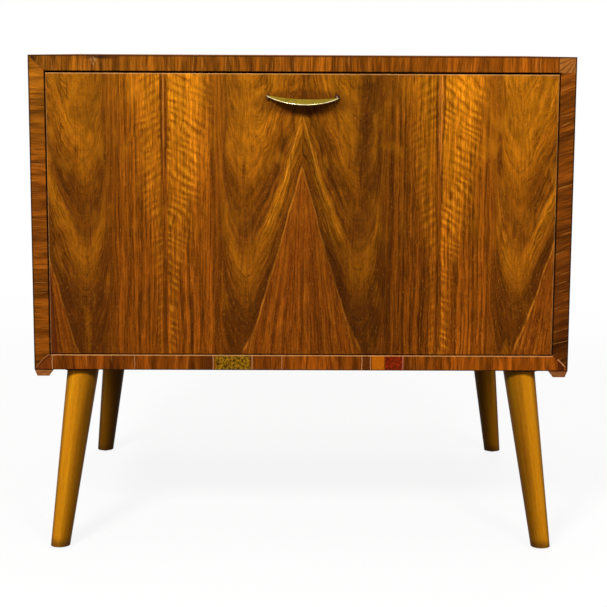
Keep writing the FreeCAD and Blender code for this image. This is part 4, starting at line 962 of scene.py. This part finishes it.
blued_steel = metal_finish("blued_steel", (46, 40, 36), (96, 88, 78), 0.42)
ACROSS, DEEP, UPRIGHT = range(3)
HIGH_END, LOW_END, INNER_END, OUTER_END = "high", "low", "inner", "outer"
screw_rows = [
    ("back_screws", "carcass", DEEP, HIGH_END), ("leg_plate_screws", "carcass", UPRIGHT, LOW_END),
    ("runner_screws", "carcass", UPRIGHT, LOW_END), ("catch_screws", "carcass", UPRIGHT, LOW_END),
    ("pivot_socket_screws", "carcass", ACROSS, INNER_END),
    ("stay_plate_screws", "carcass", ACROSS, INNER_END),
    ("pivot_plate_screws", "flap", ACROSS, OUTER_END), ("strike_screws", "flap", DEEP, HIGH_END),
    ("stay_foot_screws", "flap", DEEP, HIGH_END), ("pull_screws", "flap", DEEP, HIGH_END),
]
for node, body, axis, head_end in screw_rows:
    shape = (CHEESE_HEAD, BLUNT_END) if node == "pull_screws" else (SUNK_HEAD, GIMLET_POINT)
    row = bmesh.new()
    for count, (low, high) in enumerate(islands(nodes[node].data)):
        middle = (low + high) / 2
        outer_way = 1 if middle.x > 0 else -1
        outward = {HIGH_END: 1, LOW_END: -1, INNER_END: -outer_way, OUTER_END: outer_way}[head_end]
        direction = Vector([outward if i == axis else 0 for i in range(3)])
        head = middle.copy()
        head[axis] = high[axis] if outward > 0 else low[axis]
        radius = max((high - low)[i] for i in range(3) if i != axis) / 2
        one = slotted_screw(radius, (high - low)[axis], *shape)
        turn = direction.to_track_quat("Z", "Y").to_matrix().to_4x4()
        slot_turn = (count * TURN_IN_ROW + len(node) * TURN_FOR_ROW) % 180
        twist = Matrix.Rotation(math.radians(slot_turn), 4, "Z")
        one.transform(Matrix.Scale(0.001, 4) @ Matrix.Translation(head) @ turn @ twist)
        drawn = bpy.data.meshes.new("one_screw")
        one.to_mesh(drawn)
        one.free()
        row.from_mesh(drawn)
        bpy.data.meshes.remove(drawn)
    made = piece("slotted_" + node, row, [blued_steel], body, [node])
    for face in made.data.polygons:
        face.use_smooth = False


# ---------------------------------------------------------------- magnetic catch
# A brown moulded plastic case, screwed up under the top board, holds a pressed ferrite
# magnet between two steel poles, which draw the flap's strike plate when it closes.

case = Finish("catch_brown_plastic")
x, y, z = case.place()
speck = case.grain(x / 0.8, y / 0.8, z / 0.8, detail=3)
colour = case.ramp(speck, [(0.3, (58, 36, 24)), (0.7, (76, 50, 34))])
coat(["catch_case"], case.close(colour, 0.42 + 0.16 * speck, speck, 0.03))

ferrite = Finish("catch_ferrite")
x, y, z = ferrite.place()
speck = ferrite.grain(x / 0.5, y / 0.5, z / 0.5, detail=3)
colour = ferrite.ramp(speck, [(0.3, (34, 34, 35)), (0.7, (62, 61, 60))])
coat(["catch_magnet"], ferrite.close(colour, 0.55 + 0.2 * speck, speck, 0.05))


# ---------------------------------------------------------------- floor, light and camera
# A white studio floor that keeps a faint shadow. Two lamps stand in front, the left one
# the stronger, with a low fill at each side, one behind and one overhead, under a dim even
# sky, and a long lens looks from in front.

FLOOR_RADIUS = 40.0
SHADOW_NEAR = 700.0
SHADOW_FAR = 2400.0
SKY_LIGHT = 0.11
CAMERA_PLACE = (-0.014, -2.284, 0.651)
CAMERA_TURN = -0.46
CAMERA_DOWN = 9.05
CAMERA_ROLL = 0.27
LENS_LENGTH = 93.7
FILM_WIDTH = 36.0

floor_shape = bmesh.new()
bmesh.ops.create_circle(floor_shape, cap_ends=True, radius=FLOOR_RADIUS, segments=96)
floor_mesh = bpy.data.meshes.new("studio_floor")
floor_shape.to_mesh(floor_mesh)
floor_shape.free()
floor = bpy.data.objects.new("studio_floor", floor_mesh)
scene.collection.objects.link(floor)

floor_finish = Finish("floor_white")
x, y, z = floor_finish.place()
paper = floor_finish.grain(x / 40, y / 40, 0.0, detail=3)
path = floor_finish.put("LightPath", {}, output="Is Camera Ray")
glossy = floor_finish.put("LightPath", {}, output="Is Glossy Ray")
through = floor_finish.put("LightPath", {}, output="Is Transmission Ray")
seen = floor_finish.maths("MAXIMUM", path, floor_finish.maths("MAXIMUM", glossy, through))
white = floor_finish.tone((1.0, 1.0, 0.99), (0.15 + 0.70 * seen) * (0.98 + 0.04 * paper))
floor_finish.close(white, 0.9, Specular_IOR_Level=0.0)
glow = floor_finish.put("Emission", {"Color": (1, 1, 1, 1), "Strength": 1.0})
shaded = Reading(floor_finish, floor_finish.shader.outputs[0])
distance = (x ** 2.0 + y ** 2.0) ** 0.5
clear = 0.88 + 0.12 * floor_finish.fade(distance, SHADOW_NEAR, SHADOW_FAR)
mixed = floor_finish.put("MixShader", {0: seen * clear, 1: shaded, 2: glow})
output = next(n for n in floor_finish.tree.nodes if n.type == "OUTPUT_MATERIAL")
floor_finish.tree.links.new(mixed.socket, output.inputs["Surface"])
floor_mesh.materials.append(floor_finish.material)

world = bpy.data.worlds.new("studio")
scene.world = world
world.use_nodes = True
sky = world.node_tree
background = sky.nodes["Background"]
ray = sky.nodes.new("ShaderNodeLightPath")
seen = ray.outputs["Is Camera Ray"]
for kind in ("Is Glossy Ray", "Is Transmission Ray"):
    either = sky.nodes.new("ShaderNodeMath")
    either.operation = "MAXIMUM"
    sky.links.new(seen, either.inputs[0])
    sky.links.new(ray.outputs[kind], either.inputs[1])
    seen = either.outputs[0]
level = sky.nodes.new("ShaderNodeMapRange")
level.inputs["To Min"].default_value = SKY_LIGHT
level.inputs["To Max"].default_value = 1.0
sky.links.new(seen, level.inputs["Value"])
background.inputs["Color"].default_value = (1, 1, 1, 1)
sky.links.new(level.outputs[0], background.inputs["Strength"])

# each lamp's name, place, the height it is turned to, its size and its watts
lamps = [
    ("key", (-0.95, -2.5, 2.25), 0.35, 0.6, 88), ("second_key", (1.0, -2.5, 2.25), 0.35, 0.6, 36),
    ("left_fill", (-2.3, -1.2, 0.6), 0.25, 1.0, 5), ("right_fill", (2.3, -1.1, 0.6), 0.25, 1.0, 7),
    ("rear", (0.6, 2.8, 1.9), 0.4, 1.6, 36), ("overhead", (0, 0.2, 3.0), 0.4, 1.6, 26),
]
for name, place, aim_height, size, watts in lamps:
    lamp = bpy.data.lights.new(name, "AREA")
    lamp.shape = "SQUARE"
    lamp.size = size
    lamp.energy = watts
    holder = bpy.data.objects.new(name, lamp)
    holder.location = place
    aim = Vector((0, 0, aim_height)) - Vector(place)
    holder.rotation_euler = aim.to_track_quat("-Z", "Y").to_euler()
    scene.collection.objects.link(holder)

lens = bpy.data.cameras.new("camera")
lens.sensor_width = FILM_WIDTH
lens.lens = LENS_LENGTH
lens.clip_start = 0.05
camera = bpy.data.objects.new("camera", lens)
camera.matrix_world = (Matrix.Translation(CAMERA_PLACE)
                       @ Matrix.Rotation(math.radians(CAMERA_TURN), 4, "Z")
                       @ Matrix.Rotation(math.radians(90 - CAMERA_DOWN), 4, "X")
                       @ Matrix.Rotation(math.radians(CAMERA_ROLL), 4, "Z"))
scene.collection.objects.link(camera)
scene.camera = camera
